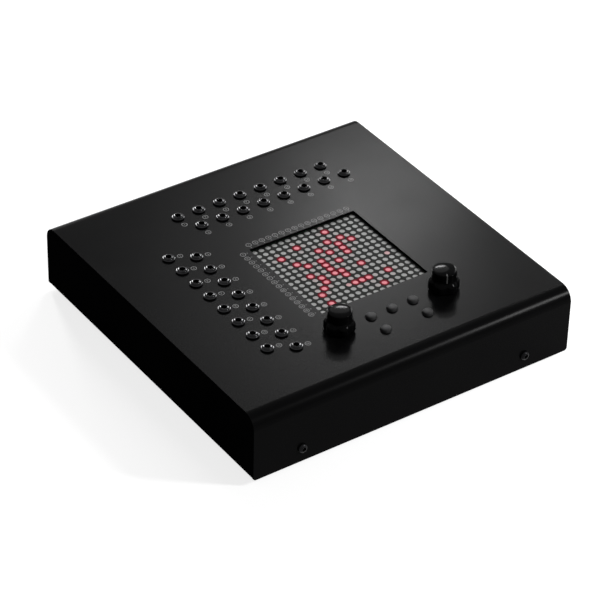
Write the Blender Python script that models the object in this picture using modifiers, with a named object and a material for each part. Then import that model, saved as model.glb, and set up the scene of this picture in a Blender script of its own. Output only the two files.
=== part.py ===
# Desktop patch matrix: sixteen inputs, sixteen outputs and a lamp display
# Metres, +Z up. X runs along the front edge to the right, Y runs to the back.
# The origin is on the surface that the four feet stand on, under the casing's middle.

import math

import bmesh
import bpy
from mathutils import Matrix, Vector

# Casing
CASE_WIDTH = 0.225
CASE_DEPTH = 0.226
CASE_HEIGHT = 0.0445
SHEET = 0.0015
COVER_BEND_RADIUS = 0.009
COVER_WALL_LIFT = 0.0006
COVER_CORNER_RADIUS = 0.002
TRAY_SIDE_INSET = 0.0004
TRAY_BEND_RADIUS = 0.0024
TRAY_FLANGE_CLEARANCE = 0.0014
TRAY_RETURN_WIDTH = 0.011

# Clearances
SEAT_GAP = 0.0003
HOLE_CLEARANCE = 0.0003
CUT_OVERRUN = 0.002
JOIN_DEPTH = 0.0004
MERGE_DISTANCE = 0.00001

# Feet
FOOT_HEIGHT = 0.003
FOOT_DIAMETER = 0.012
FOOT_EDGE = 0.0006
FOOT_INSET = 0.018

# Casing screws
SCREW_INSET = 0.0331
SCREW_RISE_SHARE = 0.2315
SCREW_SHANK_DIAMETER = 0.003
SCREW_SHANK_LENGTH = 0.007
SCREW_HEAD_DIAMETER = 0.006
SCREW_HEAD_HEIGHT = 0.0018
SCREW_KEY_WIDTH = 0.0025
SCREW_KEY_DEPTH = 0.0011
SCREW_DOME_SHARES = ((0.0, 1.0), (0.55, 1.0), (0.82, 0.8), (0.96, 0.45), (1.0, 0.15), (1.0, 0.0))

# Lamp display, four square modules of eight by eight lamps
LAMP_PITCH = 0.0047625
LAMPS_PER_MODULE = 8
MODULES_PER_SIDE = 2
DISPLAY_X = 0.0138
DISPLAY_GAP_SHARE = 0.2818
MODULE_HEIGHT = 0.008
PIN_STRIP_WIDTH = 0.0025
PIN_STRIP_LENGTH = 0.020
PIN_STRIP_INSET = 0.004

# Patch sockets
SOCKET_PITCH = 0.015
SOCKETS_PER_ROW = 8
SOCKET_BODY_WIDTH = 0.009
SOCKET_BODY_LENGTH = 0.0105
SOCKET_BODY_HEIGHT = 0.010
SOCKET_COLLAR_DIAMETER = 0.006
SOCKET_COLLAR_HEIGHT = 0.0021
SOCKET_BORE_DIAMETER = 0.0036
SOCKET_FLOOR = 0.001
SOCKET_NUT_DIAMETER = 0.008
SOCKET_NUT_HEIGHT = 0.00095
OUTPUT_BACK_X = -0.0421
OUTPUT_FRONT_X = -0.0344
OUTPUT_INSET = 0.0374
OUTPUT_ROW_PITCH = 0.0146
INPUT_LEFT_X = -0.0700
INPUT_LEFT_LEAD = 0.0558
INPUT_RIGHT_X = -0.0551
INPUT_RIGHT_LEAD = 0.0483

# Main board
BOARD_THICKNESS = 0.0016
BOARD_WIDTH = 0.156
BOARD_FRONT_INSET = 0.018
BOARD_BACK_INSET = 0.029

# Controls in front of the display
CONTROL_X = 0.0126
CONTROL_INSET = 0.0429
KNOB_SPACING = 0.075
BUTTON_PITCH = 0.015
BUTTON_ROW_PITCH = 0.0147
BUTTON_DIAMETER = 0.0064
BUTTON_PROUD = 0.0019
BUTTON_EDGE = 0.0011
BUTTON_HOLE_CLEARANCE = 0.0003
BUTTON_FLANGE_DIAMETER = 0.0092
BUTTON_FLANGE_HEIGHT = 0.001
BUTTON_STEM_DIAMETER = 0.0034
BUTTON_TRAVEL = 0.0005
SWITCH_WIDTH = 0.0085
SWITCH_WELL_DEPTH = 0.0025

# Rotary encoders
ENCODER_WIDTH = 0.012
ENCODER_HEIGHT = 0.0066
ENCODER_BUSHING_DIAMETER = 0.007
ENCODER_BUSHING_PROUD = 0.003
ENCODER_NUT_WIDTH = 0.010
ENCODER_NUT_HEIGHT = 0.002
ENCODER_FLOOR = 0.001
SHAFT_DIAMETER = 0.006
SHAFT_NECK_DIAMETER = 0.0048

# Knobs
KNOB_HEIGHT = 0.0135
KNOB_LIFT = 0.0006
KNOB_SKIRT_DIAMETER = 0.019
KNOB_VALLEY_DIAMETER = 0.0166
KNOB_WAIST_DIAMETER = 0.0148
KNOB_TOP_DIAMETER = 0.0136
KNOB_SKIRT_RISE = 0.0050
KNOB_SHOULDER_RISE = 0.0078
KNOB_EDGE = 0.0005
KNOB_LOBES = 6
KNOB_LEFT_TURN = math.radians(16.0)
KNOB_RIGHT_TURN = math.radians(34.0)
KNOB_WELL_DIAMETER = 0.0126
KNOB_WELL_CLEARANCE = 0.0005
KNOB_CROWN = 0.002
KNOB_LOBE_SHARPNESS_SHARE = 0.7

# Power inlet and its lead
INLET_X = -0.060
INLET_DROP = 0.017
INLET_FLANGE_DIAMETER = 0.014
INLET_FLANGE_HEIGHT = 0.0015
INLET_BODY_DIAMETER = 0.011
INLET_BODY_LENGTH = 0.016
INLET_NUT_WIDTH = 0.014
INLET_NUT_HEIGHT = 0.0025
INLET_BORE_DIAMETER = 0.0063
INLET_BORE_DEPTH = 0.011
INLET_PIN_DIAMETER = 0.002
INLET_PIN_RECESS = 0.001
LEAD_DIAMETER = 0.0024
LEAD_LANDING = 0.010
LEAD_TURN_RADIUS = 0.006

# Mesh fineness
BEND_STEPS = 6
HOLE_SIDES = 16
SMALL_SIDES = 12
TURNED_STEPS = 24
KNOB_STEPS = 48
LEAD_STEPS = 6
SHARP_ANGLE = math.radians(35.0)
FULL_TURN = 2.0 * math.pi
QUARTER_TURN = 0.5 * math.pi

# Heights and places that follow from the sizes above
BASE_Z = FOOT_HEIGHT
PANEL_Z = BASE_Z + CASE_HEIGHT
UNDERSIDE_Z = PANEL_Z - SHEET
SOCKET_TOP_Z = UNDERSIDE_Z - SEAT_GAP
BOARD_TOP_Z = SOCKET_TOP_Z - SOCKET_BODY_HEIGHT - SEAT_GAP
BOARD_BOTTOM_Z = BOARD_TOP_Z - BOARD_THICKNESS
MODULE_SIDE = LAMPS_PER_MODULE * LAMP_PITCH
WINDOW_SIDE = MODULES_PER_SIDE * MODULE_SIDE
MODULE_TOP_Z = UNDERSIDE_Z - SEAT_GAP
SCREW_Z = BASE_Z + CASE_HEIGHT * SCREW_RISE_SHARE
INLET_Z = PANEL_Z - INLET_DROP
NUT_CORNER_SHARE = 1.0 / math.cos(math.pi / 6.0)
INLET_NUT_REACH = 0.5 * INLET_NUT_WIDTH * NUT_CORNER_SHARE
TRAY_FLANGE_Z = INLET_Z - INLET_NUT_REACH - TRAY_FLANGE_CLEARANCE
BOARD_FRONT_Y = BOARD_FRONT_INSET - 0.5 * CASE_DEPTH
BOARD_BACK_Y = 0.5 * CASE_DEPTH - BOARD_BACK_INSET
CONTROL_Y = CONTROL_INSET - 0.5 * CASE_DEPTH
BUTTON_FLANGE_Z = UNDERSIDE_Z - SEAT_GAP - BUTTON_FLANGE_HEIGHT
SWITCH_TOP_Z = BUTTON_FLANGE_Z - BUTTON_TRAVEL - SEAT_GAP
OUTPUT_BACK_Y = 0.5 * CASE_DEPTH - OUTPUT_INSET
OUTPUT_FRONT_Y = OUTPUT_BACK_Y - OUTPUT_ROW_PITCH
DISPLAY_FRONT_LIMIT = CONTROL_Y + 0.5 * ENCODER_WIDTH
DISPLAY_BACK_LIMIT = OUTPUT_FRONT_Y - 0.5 * SOCKET_BODY_LENGTH
DISPLAY_SPACE = DISPLAY_BACK_LIMIT - DISPLAY_FRONT_LIMIT - WINDOW_SIDE
DISPLAY_Y = DISPLAY_FRONT_LIMIT + DISPLAY_SPACE * DISPLAY_GAP_SHARE + 0.5 * WINDOW_SIDE
INPUT_LEFT_Y = DISPLAY_Y + INPUT_LEFT_LEAD
INPUT_RIGHT_Y = DISPLAY_Y + INPUT_RIGHT_LEAD

# Colours and finishes: red, green, blue, then roughness and metallic
FINISHES = {
    "casing_black": ((0.014, 0.014, 0.015), 0.4, 0.0),
    "nickel": ((0.30, 0.30, 0.31), 0.28, 1.0),
    "screw_black": ((0.05, 0.05, 0.05), 0.35, 0.9),
    "board_green": ((0.03, 0.12, 0.06), 0.5, 0.0),
    "lamp_face": ((0.45, 0.46, 0.47), 0.45, 0.0),
    "steel": ((0.55, 0.55, 0.56), 0.3, 1.0),
    "knob_black": ((0.008, 0.008, 0.009), 0.12, 0.0),
    "button_black": ((0.016, 0.016, 0.017), 0.35, 0.0),
    "foot_rubber": ((0.02, 0.02, 0.02), 0.9, 0.0),
    "inlet_plastic": ((0.03, 0.03, 0.03), 0.4, 0.0),
    "lead_sleeve": ((0.35, 0.03, 0.03), 0.5, 0.0),
}


def clear_scene():
    """Remove every object that the scene starts with."""
    for thing in list(bpy.data.objects):
        bpy.data.objects.remove(thing, do_unlink=True)


def make_collection(name):
    """Add a collection to the scene."""
    collection = bpy.data.collections.new(name)
    bpy.context.scene.collection.children.link(collection)
    return collection


clear_scene()
PARTS = make_collection("patch_matrix")
CUTTERS = make_collection("cutters")


def make_material(name):
    """One plain surface finish from the table of finishes."""
    existing = bpy.data.materials.get(name)
    if existing:
        return existing
    colour, roughness, metallic = FINISHES[name]
    material = bpy.data.materials.new(name)
    material.use_nodes = True
    shader = material.node_tree.nodes["Principled BSDF"]
    shader.inputs["Base Color"].default_value = (*colour, 1.0)
    shader.inputs["Roughness"].default_value = roughness
    shader.inputs["Metallic"].default_value = metallic
    return material


def place(name, mesh, location=(0.0, 0.0, 0.0), rotation=(0.0, 0.0, 0.0), collection=None):
    """Put a mesh in the scene as a named object."""
    thing = bpy.data.objects.new(name, mesh)
    thing.location = location
    thing.rotation_euler = rotation
    (collection or PARTS).objects.link(thing)
    return thing


def mesh_from(shape, name):
    """Turn a finished bmesh into a mesh."""
    mesh = bpy.data.meshes.new(name)
    shape.to_mesh(mesh)
    shape.free()
    return mesh


def add_box(shape, low, high):
    """Add a box between two corners."""
    low = Vector(low)
    high = Vector(high)
    size = high - low
    place_matrix = Matrix.Translation((low + high) * 0.5) @ Matrix.Diagonal((*size, 1.0))
    bmesh.ops.create_cube(shape, size=1.0, matrix=place_matrix)


def add_disc(shape, diameter, bottom_z, top_z, centre=(0.0, 0.0), sides=HOLE_SIDES):
    """Add an upright cylinder or prism between two heights."""
    middle = Matrix.Translation((centre[0], centre[1], 0.5 * (bottom_z + top_z)))
    bmesh.ops.create_cone(
        shape, cap_ends=True, segments=sides, radius1=0.5 * diameter,
        radius2=0.5 * diameter, depth=top_z - bottom_z, matrix=middle,
    )


def add_disc_along_y(shape, diameter, near_y, far_y, centre, sides=HOLE_SIDES):
    """Add a lying cylinder whose axis runs to the back."""
    middle = Matrix.Translation((centre[0], 0.5 * (near_y + far_y), centre[1]))
    turned = middle @ Matrix.Rotation(QUARTER_TURN, 4, "X")
    bmesh.ops.create_cone(
        shape, cap_ends=True, segments=sides, radius1=0.5 * diameter,
        radius2=0.5 * diameter, depth=far_y - near_y, matrix=turned,
    )


def box_mesh(name, low, high):
    """A plain box as a mesh."""
    shape = bmesh.new()
    add_box(shape, low, high)
    return mesh_from(shape, name)


def disc_mesh(name, diameter, bottom_z, top_z, sides=HOLE_SIDES):
    """A plain upright cylinder or prism as a mesh."""
    shape = bmesh.new()
    add_disc(shape, diameter, bottom_z, top_z, sides=sides)
    return mesh_from(shape, name)


def turned_mesh(name, profile, steps=TURNED_STEPS):
    """Spin an outline, given top to bottom along its outer side, about Z."""
    shape = bmesh.new()
    corners = [shape.verts.new((radius, 0.0, height)) for radius, height in profile]
    for upper, lower in zip(corners, corners[1:]):
        shape.edges.new((upper, lower))
    outline = place(name + "_outline", mesh_from(shape, name + "_outline"), collection=CUTTERS)
    screw = outline.modifiers.new("spin", "SCREW")
    screw.axis = "Z"
    screw.angle = FULL_TURN
    screw.steps = steps
    screw.render_steps = steps
    screw.use_merge_vertices = True
    screw.merge_threshold = MERGE_DISTANCE
    return finished_mesh(outline, name)


def finished_mesh(thing, name):
    """Work out an object's modifiers, keep the mesh and remove the object."""
    bpy.context.view_layer.update()
    evaluated = thing.evaluated_get(bpy.context.evaluated_depsgraph_get())
    mesh = bpy.data.meshes.new_from_object(evaluated)
    mesh.name = name
    bpy.data.objects.remove(thing, do_unlink=True)
    return mesh


def combined(name, base, steps):
    """Join meshes to a base mesh, or cut them from it, in the order given."""
    body = place(name + "_stock", base, collection=CUTTERS)
    tools = []
    for index, (operation, mesh) in enumerate(steps):
        tool = place(f"{name}_tool_{index}", mesh, collection=CUTTERS)
        hide_cutter(tool)
        tools.append(tool)
        boolean = body.modifiers.new(f"step_{index}", "BOOLEAN")
        boolean.operation = operation
        boolean.solver = "EXACT"
        boolean.object = tool
    mesh = finished_mesh(body, name)
    for tool in tools:
        bpy.data.objects.remove(tool, do_unlink=True)
    return mesh


def hide_cutter(tool):
    """Show a cutting shape as wire only."""
    tool.hide_render = True
    tool.display_type = "WIRE"


def cut_with(thing, mesh):
    """Cut a shape out of an object with a live Boolean modifier."""
    tool = place(thing.name + "_cutter", mesh, collection=CUTTERS)
    hide_cutter(tool)
    boolean = thing.modifiers.new("openings", "BOOLEAN")
    boolean.operation = "DIFFERENCE"
    boolean.solver = "EXACT"
    boolean.object = tool


def finish(thing, material):
    """Give an object its material and shade its round faces smooth."""
    thing.data.materials.clear()
    thing.data.materials.append(make_material(material))
    thing.data.shade_smooth()
    thing.data.set_sharp_from_angle(angle=SHARP_ANGLE)
    return thing


def row_of_places(first_x, first_y, step_x, step_y):
    """The centres of one row of patch sockets."""
    return [(first_x + i * step_x, first_y + i * step_y) for i in range(SOCKETS_PER_ROW)]


def output_places():
    """Output sockets, numbered in pairs from the left: back row, then front row."""
    back = row_of_places(OUTPUT_BACK_X, OUTPUT_BACK_Y, SOCKET_PITCH, 0.0)
    front = row_of_places(OUTPUT_FRONT_X, OUTPUT_FRONT_Y, SOCKET_PITCH, 0.0)
    return [spot for pair in zip(back, front) for spot in pair]


def input_places():
    """Input sockets, numbered in pairs from the back: left column, then right column."""
    left = row_of_places(INPUT_LEFT_X, INPUT_LEFT_Y, 0.0, -SOCKET_PITCH)
    right = row_of_places(INPUT_RIGHT_X, INPUT_RIGHT_Y, 0.0, -SOCKET_PITCH)
    return [spot for pair in zip(left, right) for spot in pair]


def knob_places():
    """The two rotary controls, left and right."""
    reach = 0.5 * KNOB_SPACING
    return [(CONTROL_X - reach, CONTROL_Y), (CONTROL_X + reach, CONTROL_Y)]


def button_places():
    """Three buttons level with the knobs and two in the row in front of them."""
    low_y = CONTROL_Y - BUTTON_ROW_PITCH
    return [
        (CONTROL_X - BUTTON_PITCH, CONTROL_Y),
        (CONTROL_X, CONTROL_Y),
        (CONTROL_X + BUTTON_PITCH, CONTROL_Y),
        (CONTROL_X - BUTTON_PITCH, low_y),
        (CONTROL_X + BUTTON_PITCH, low_y),
    ]


def screw_places():
    """Screw centres along the front and back walls, as x and wall side."""
    reach = 0.5 * CASE_WIDTH - SCREW_INSET
    return [(-reach, -1.0), (reach, -1.0), (-reach, 1.0), (reach, 1.0)]


def module_places():
    """Centres of the display modules, back row first."""
    reach = 0.5 * MODULE_SIDE
    return [
        (DISPLAY_X + side_x * reach, DISPLAY_Y + side_y * reach)
        for side_y in (1.0, -1.0)
        for side_x in (-1.0, 1.0)
    ]


def cover_outline():
    """Side view of the bent cover: up the back wall, over the top, down the front."""
    wall_y = 0.5 * CASE_DEPTH
    bottom_z = BASE_Z + COVER_WALL_LIFT
    bend_y = wall_y - COVER_BEND_RADIUS
    bend_z = PANEL_Z - COVER_BEND_RADIUS
    half = []
    for step in range(BEND_STEPS + 1):
        angle = QUARTER_TURN * step / BEND_STEPS
        y = bend_y + COVER_BEND_RADIUS * math.cos(angle)
        z = bend_z + COVER_BEND_RADIUS * math.sin(angle)
        half.append((y, z))
    back = [(wall_y, bottom_z)] + half
    front = [(-y, z) for y, z in reversed(back)]
    return back + front


def cover_cutter():
    """Every hole in the cover: sockets, window, controls, screws and power inlet."""
    shape = bmesh.new()
    low_z = UNDERSIDE_Z - CUT_OVERRUN
    high_z = PANEL_Z + CUT_OVERRUN
    socket_hole = SOCKET_COLLAR_DIAMETER + 2.0 * HOLE_CLEARANCE
    for spot in output_places() + input_places():
        add_disc(shape, socket_hole, low_z, high_z, spot)
    for spot in knob_places():
        add_disc(shape, ENCODER_BUSHING_DIAMETER + 2.0 * HOLE_CLEARANCE, low_z, high_z, spot)
    for spot in button_places():
        add_disc(shape, BUTTON_DIAMETER + 2.0 * BUTTON_HOLE_CLEARANCE, low_z, high_z, spot)
    reach = 0.5 * WINDOW_SIDE
    window_low = (DISPLAY_X - reach, DISPLAY_Y - reach, low_z)
    window_high = (DISPLAY_X + reach, DISPLAY_Y + reach, high_z)
    add_box(shape, window_low, window_high)
    add_wall_holes(shape, 0.5 * CASE_DEPTH)
    outer_y = 0.5 * CASE_DEPTH + CUT_OVERRUN
    inner_y = 0.5 * CASE_DEPTH - SHEET - CUT_OVERRUN
    inlet_hole = INLET_BODY_DIAMETER + 2.0 * HOLE_CLEARANCE
    add_disc_along_y(shape, inlet_hole, inner_y, outer_y, (INLET_X, INLET_Z), TURNED_STEPS)
    return mesh_from(shape, "cover_cutter")


def add_wall_holes(shape, wall_y):
    """Clearance holes for the casing screws through a front and back wall."""
    hole = SCREW_SHANK_DIAMETER + 2.0 * HOLE_CLEARANCE
    for x, side in screw_places():
        outer = side * (wall_y + CUT_OVERRUN)
        inner = side * (wall_y - SHEET - CUT_OVERRUN)
        add_disc_along_y(shape, hole, min(outer, inner), max(outer, inner), (x, SCREW_Z), SMALL_SIDES)


def make_top_cover():
    """Top panel with the front and back walls, bent from one sheet."""
    half = 0.5 * CASE_WIDTH
    shape = bmesh.new()
    left = [shape.verts.new((-half, y, z)) for y, z in cover_outline()]
    edges = [shape.edges.new(pair) for pair in zip(left, left[1:])]
    swept = bmesh.ops.extrude_edge_only(shape, edges=edges)
    moved = [item for item in swept["geom"] if isinstance(item, bmesh.types.BMVert)]
    bmesh.ops.translate(shape, verts=moved, vec=(CASE_WIDTH, 0.0, 0.0))
    low_z = min(corner.co.z for corner in shape.verts)
    corners = [corner for corner in shape.verts if corner.co.z < low_z + MERGE_DISTANCE]
    bmesh.ops.bevel(
        shape, geom=corners, offset=COVER_CORNER_RADIUS, segments=3, profile=0.5,
        affect="VERTICES", material=-1,
    )
    bmesh.ops.recalc_face_normals(shape, faces=shape.faces[:])
    top = max(shape.faces, key=lambda face: face.calc_center_median().z)
    if top.normal.z < 0.0:
        bmesh.ops.reverse_faces(shape, faces=shape.faces[:])
    cover = place("top_cover", mesh_from(shape, "top_cover"))
    wall = cover.modifiers.new("sheet", "SOLIDIFY")
    wall.thickness = SHEET
    wall.offset = -1.0
    wall.use_even_offset = True
    cut_with(cover, cover_cutter())
    return finish(cover, "casing_black")


def make_bottom_tray():
    """Base with folded sides that slide inside the cover, and low screw flanges."""
    half_x = 0.5 * CASE_WIDTH - TRAY_SIDE_INSET
    half_y = 0.5 * CASE_DEPTH - SHEET - SEAT_GAP
    top_z = UNDERSIDE_Z - SEAT_GAP
    shape = bmesh.new()
    add_box(shape, (-half_x, -half_y, BASE_Z), (half_x, half_y, top_z))
    bottom_edges = [edge for edge in shape.edges if all(v.co.z < top_z - SHEET for v in edge.verts)]
    bmesh.ops.bevel(
        shape, geom=bottom_edges, offset=TRAY_BEND_RADIUS, segments=3, profile=0.5,
        affect="EDGES", material=-1,
    )
    inner_bend = COVER_BEND_RADIUS - SHEET - SEAT_GAP
    top_edges = [
        edge for edge in shape.edges
        if all(v.co.z > top_z - MERGE_DISTANCE for v in edge.verts)
        and abs(edge.verts[0].co.y - edge.verts[1].co.y) < MERGE_DISTANCE
    ]
    bmesh.ops.bevel(
        shape, geom=top_edges, offset=inner_bend, segments=BEND_STEPS, profile=0.5,
        affect="EDGES", material=-1,
    )
    lid = [face for face in shape.faces if face.normal.z > math.cos(SHARP_ANGLE)]
    lid = [face for face in lid if face.calc_center_median().z > top_z - MERGE_DISTANCE]
    bmesh.ops.delete(shape, geom=lid, context="FACES")
    tray = place("bottom_tray", mesh_from(shape, "bottom_tray"))
    wall = tray.modifiers.new("sheet", "SOLIDIFY")
    wall.thickness = SHEET
    wall.offset = -1.0
    wall.use_even_offset = True
    cutter = bmesh.new()
    cut_x = half_x - TRAY_RETURN_WIDTH
    add_box(
        cutter, (-cut_x, -half_y - CUT_OVERRUN, TRAY_FLANGE_Z),
        (cut_x, half_y + CUT_OVERRUN, top_z + CUT_OVERRUN),
    )
    add_wall_holes(cutter, half_y)
    cut_with(tray, mesh_from(cutter, "tray_cutter"))
    return finish(tray, "casing_black")


def make_main_board():
    """Board under the panel, with the five push switches soldered to it."""
    half = 0.5 * BOARD_WIDTH
    board = box_mesh("board", (-half, BOARD_FRONT_Y, BOARD_BOTTOM_Z), (half, BOARD_BACK_Y, BOARD_TOP_Z))
    switches = bmesh.new()
    wells = bmesh.new()
    reach = 0.5 * SWITCH_WIDTH
    for x, y in button_places():
        low = (x - reach, y - reach, BOARD_TOP_Z - JOIN_DEPTH)
        add_box(switches, low, (x + reach, y + reach, SWITCH_TOP_Z))
        well = BUTTON_STEM_DIAMETER + 2.0 * HOLE_CLEARANCE
        well_z = SWITCH_TOP_Z - SWITCH_WELL_DEPTH
        add_disc(wells, well, well_z, SWITCH_TOP_Z + CUT_OVERRUN, (x, y))
    steps = [
        ("UNION", mesh_from(switches, "switches")),
        ("DIFFERENCE", mesh_from(wells, "wells")),
    ]
    mesh = combined("main_board", board, steps)
    return finish(place("main_board", mesh), "board_green")


def make_display_modules():
    """Four lamp modules, each with two pin strips that reach down to the board."""
    reach = 0.5 * MODULE_SIDE - 0.5 * SEAT_GAP
    bottom_z = MODULE_TOP_Z - MODULE_HEIGHT
    block = box_mesh("block", (-reach, -reach, bottom_z), (reach, reach, MODULE_TOP_Z))
    strips = bmesh.new()
    strip_y = reach - PIN_STRIP_INSET
    for side in (-1.0, 1.0):
        middle_y = side * strip_y
        low = (-0.5 * PIN_STRIP_LENGTH, middle_y - 0.5 * PIN_STRIP_WIDTH, BOARD_TOP_Z + SEAT_GAP)
        high = (0.5 * PIN_STRIP_LENGTH, middle_y + 0.5 * PIN_STRIP_WIDTH, bottom_z + JOIN_DEPTH)
        add_box(strips, low, high)
    mesh = combined("display_module", block, [("UNION", mesh_from(strips, "strips"))])
    for index, (x, y) in enumerate(module_places(), start=1):
        finish(place(f"display_module_{index}", mesh, (x, y, 0.0)), "lamp_face")


def make_patch_sockets():
    """Patch sockets: housing on the board, collar through the panel and its nut."""
    half_x = 0.5 * SOCKET_BODY_WIDTH
    half_y = 0.5 * SOCKET_BODY_LENGTH
    floor_z = BOARD_TOP_Z + SEAT_GAP
    housing = box_mesh("housing", (-half_x, -half_y, floor_z), (half_x, half_y, SOCKET_TOP_Z))
    collar_top_z = PANEL_Z + SOCKET_COLLAR_HEIGHT
    nut_bottom_z = PANEL_Z + SEAT_GAP
    nut_top_z = nut_bottom_z + SOCKET_NUT_HEIGHT
    collar = disc_mesh("collar", SOCKET_COLLAR_DIAMETER, SOCKET_TOP_Z - JOIN_DEPTH, collar_top_z)
    nut = disc_mesh("nut", SOCKET_NUT_DIAMETER, nut_bottom_z, nut_top_z, TURNED_STEPS)
    bore = disc_mesh(
        "bore", SOCKET_BORE_DIAMETER, floor_z + SOCKET_FLOOR, collar_top_z + CUT_OVERRUN, SMALL_SIDES,
    )
    steps = [("UNION", collar), ("UNION", nut), ("DIFFERENCE", bore)]
    mesh = combined("patch_socket", housing, steps)
    for index, (x, y) in enumerate(input_places(), start=1):
        finish(place(f"input_socket_{index:02d}", mesh, (x, y, 0.0)), "nickel")
    for index, (x, y) in enumerate(output_places(), start=1):
        finish(place(f"output_socket_{index:02d}", mesh, (x, y, 0.0)), "nickel")


def encoder_mesh():
    """Encoder body with its threaded bushing and panel nut, bored for the shaft."""
    reach = 0.5 * ENCODER_WIDTH
    floor_z = BOARD_TOP_Z + SEAT_GAP
    body_top_z = floor_z + ENCODER_HEIGHT
    nut_bottom_z = PANEL_Z + SEAT_GAP
    body = box_mesh("body", (-reach, -reach, floor_z), (reach, reach, body_top_z))
    bushing = disc_mesh(
        "bushing", ENCODER_BUSHING_DIAMETER, body_top_z - JOIN_DEPTH,
        PANEL_Z + ENCODER_BUSHING_PROUD, TURNED_STEPS,
    )
    nut = disc_mesh(
        "nut", ENCODER_NUT_WIDTH * NUT_CORNER_SHARE, nut_bottom_z, nut_bottom_z + ENCODER_NUT_HEIGHT, 6,
    )
    bore = disc_mesh(
        "bore", SHAFT_NECK_DIAMETER + 2.0 * HOLE_CLEARANCE, floor_z + ENCODER_FLOOR,
        PANEL_Z + ENCODER_BUSHING_PROUD + CUT_OVERRUN, TURNED_STEPS,
    )
    return combined("encoder", body, [("UNION", bushing), ("UNION", nut), ("DIFFERENCE", bore)])


def shaft_top_z():
    """Top of the shaft, just under the end of the knob's bore."""
    return PANEL_Z + KNOB_LIFT + KNOB_HEIGHT - KNOB_CROWN - SEAT_GAP


def shaft_mesh():
    """Stepped shaft: full size inside the knob, a neck inside the bushing."""
    shoulder_z = PANEL_Z + ENCODER_BUSHING_PROUD + SEAT_GAP
    bottom_z = BOARD_TOP_Z + SEAT_GAP + ENCODER_FLOOR + SEAT_GAP
    profile = [
        (0.0, shaft_top_z()),
        (0.5 * SHAFT_DIAMETER, shaft_top_z()),
        (0.5 * SHAFT_DIAMETER, shoulder_z),
        (0.5 * SHAFT_NECK_DIAMETER, shoulder_z),
        (0.5 * SHAFT_NECK_DIAMETER, bottom_z),
        (0.0, bottom_z),
    ]
    return turned_mesh("shaft", profile)


def lobe_share(angle):
    """How far a direction lies out towards the tip of a lobe, from 0 to 1."""
    wave = 0.5 + 0.5 * math.cos(KNOB_LOBES * angle)
    return wave ** KNOB_LOBE_SHARPNESS_SHARE


def knob_ring(shape, height, inner_radius, outer_radius):
    """One ring of the knob's side, between its valleys and its lobes."""
    ring = []
    for step in range(KNOB_STEPS):
        angle = FULL_TURN * step / KNOB_STEPS
        radius = inner_radius + (outer_radius - inner_radius) * lobe_share(angle)
        ring.append(shape.verts.new((radius * math.cos(angle), radius * math.sin(angle), height)))
    return [shape.edges.new((ring[i - 1], ring[i])) for i in range(KNOB_STEPS)]


def knob_mesh():
    """Lobed skirt lofted up to a round waist and top, hollow round the panel nut."""
    bottom_z = PANEL_Z + KNOB_LIFT
    top_z = bottom_z + KNOB_HEIGHT
    skirt = 0.5 * KNOB_SKIRT_DIAMETER
    valley = 0.5 * KNOB_VALLEY_DIAMETER
    waist = 0.5 * KNOB_WAIST_DIAMETER
    crown = 0.5 * KNOB_TOP_DIAMETER
    shape = bmesh.new()
    levels = [
        (bottom_z, valley, skirt),
        (bottom_z + KNOB_SKIRT_RISE, valley, skirt),
        (bottom_z + KNOB_SHOULDER_RISE, waist, waist),
        (top_z - KNOB_EDGE, crown + KNOB_EDGE, crown + KNOB_EDGE),
        (top_z, crown, crown),
    ]
    rings = [knob_ring(shape, height, inner, outer) for height, inner, outer in levels]
    for lower, upper in zip(rings, rings[1:]):
        bmesh.ops.bridge_loops(shape, edges=lower + upper)
    bmesh.ops.holes_fill(shape, edges=rings[0] + rings[-1], sides=KNOB_STEPS)
    bmesh.ops.recalc_face_normals(shape, faces=shape.faces[:])
    well_top_z = PANEL_Z + ENCODER_BUSHING_PROUD + KNOB_WELL_CLEARANCE
    well = disc_mesh("well", KNOB_WELL_DIAMETER, bottom_z - CUT_OVERRUN, well_top_z, TURNED_STEPS)
    bore = disc_mesh(
        "bore", SHAFT_DIAMETER + 2.0 * HOLE_CLEARANCE, bottom_z - CUT_OVERRUN,
        top_z - KNOB_CROWN, TURNED_STEPS,
    )
    return combined("knob", mesh_from(shape, "knob_stock"), [("DIFFERENCE", well), ("DIFFERENCE", bore)])


def make_encoders():
    """Both rotary controls: fixed encoder, and shaft and knob turned on their axis."""
    body = encoder_mesh()
    shaft = shaft_mesh()
    knob = knob_mesh()
    turns = (KNOB_LEFT_TURN, KNOB_RIGHT_TURN)
    for side, (x, y), turn in zip(("left", "right"), knob_places(), turns):
        axis = bpy.data.objects.new(f"{side}_axis", None)
        axis.location = (x, y, 0.0)
        axis.rotation_euler = (0.0, 0.0, turn)
        PARTS.objects.link(axis)
        finish(place(f"encoder_{side}", body, (x, y, 0.0)), "steel")
        for piece, mesh, material in (("shaft", shaft, "steel"), ("knob", knob, "knob_black")):
            turning = finish(place(f"{piece}_{side}", mesh), material)
            turning.parent = axis


def make_buttons():
    """Button caps: disc above the panel, flange below it, stem into the switch."""
    top_z = PANEL_Z + BUTTON_PROUD
    flange_top_z = UNDERSIDE_Z - SEAT_GAP
    stem_z = SWITCH_TOP_Z - SWITCH_WELL_DEPTH + SEAT_GAP + BUTTON_TRAVEL
    radius = 0.5 * BUTTON_DIAMETER
    profile = [
        (0.0, top_z),
        (radius - BUTTON_EDGE, top_z),
        (radius, top_z - BUTTON_EDGE),
        (radius, flange_top_z),
        (0.5 * BUTTON_FLANGE_DIAMETER, flange_top_z),
        (0.5 * BUTTON_FLANGE_DIAMETER, BUTTON_FLANGE_Z),
        (0.5 * BUTTON_STEM_DIAMETER, BUTTON_FLANGE_Z),
        (0.5 * BUTTON_STEM_DIAMETER, stem_z),
        (0.0, stem_z),
    ]
    mesh = turned_mesh("button", profile)
    for index, (x, y) in enumerate(button_places(), start=1):
        finish(place(f"button_{index}", mesh, (x, y, 0.0)), "button_black")


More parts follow.
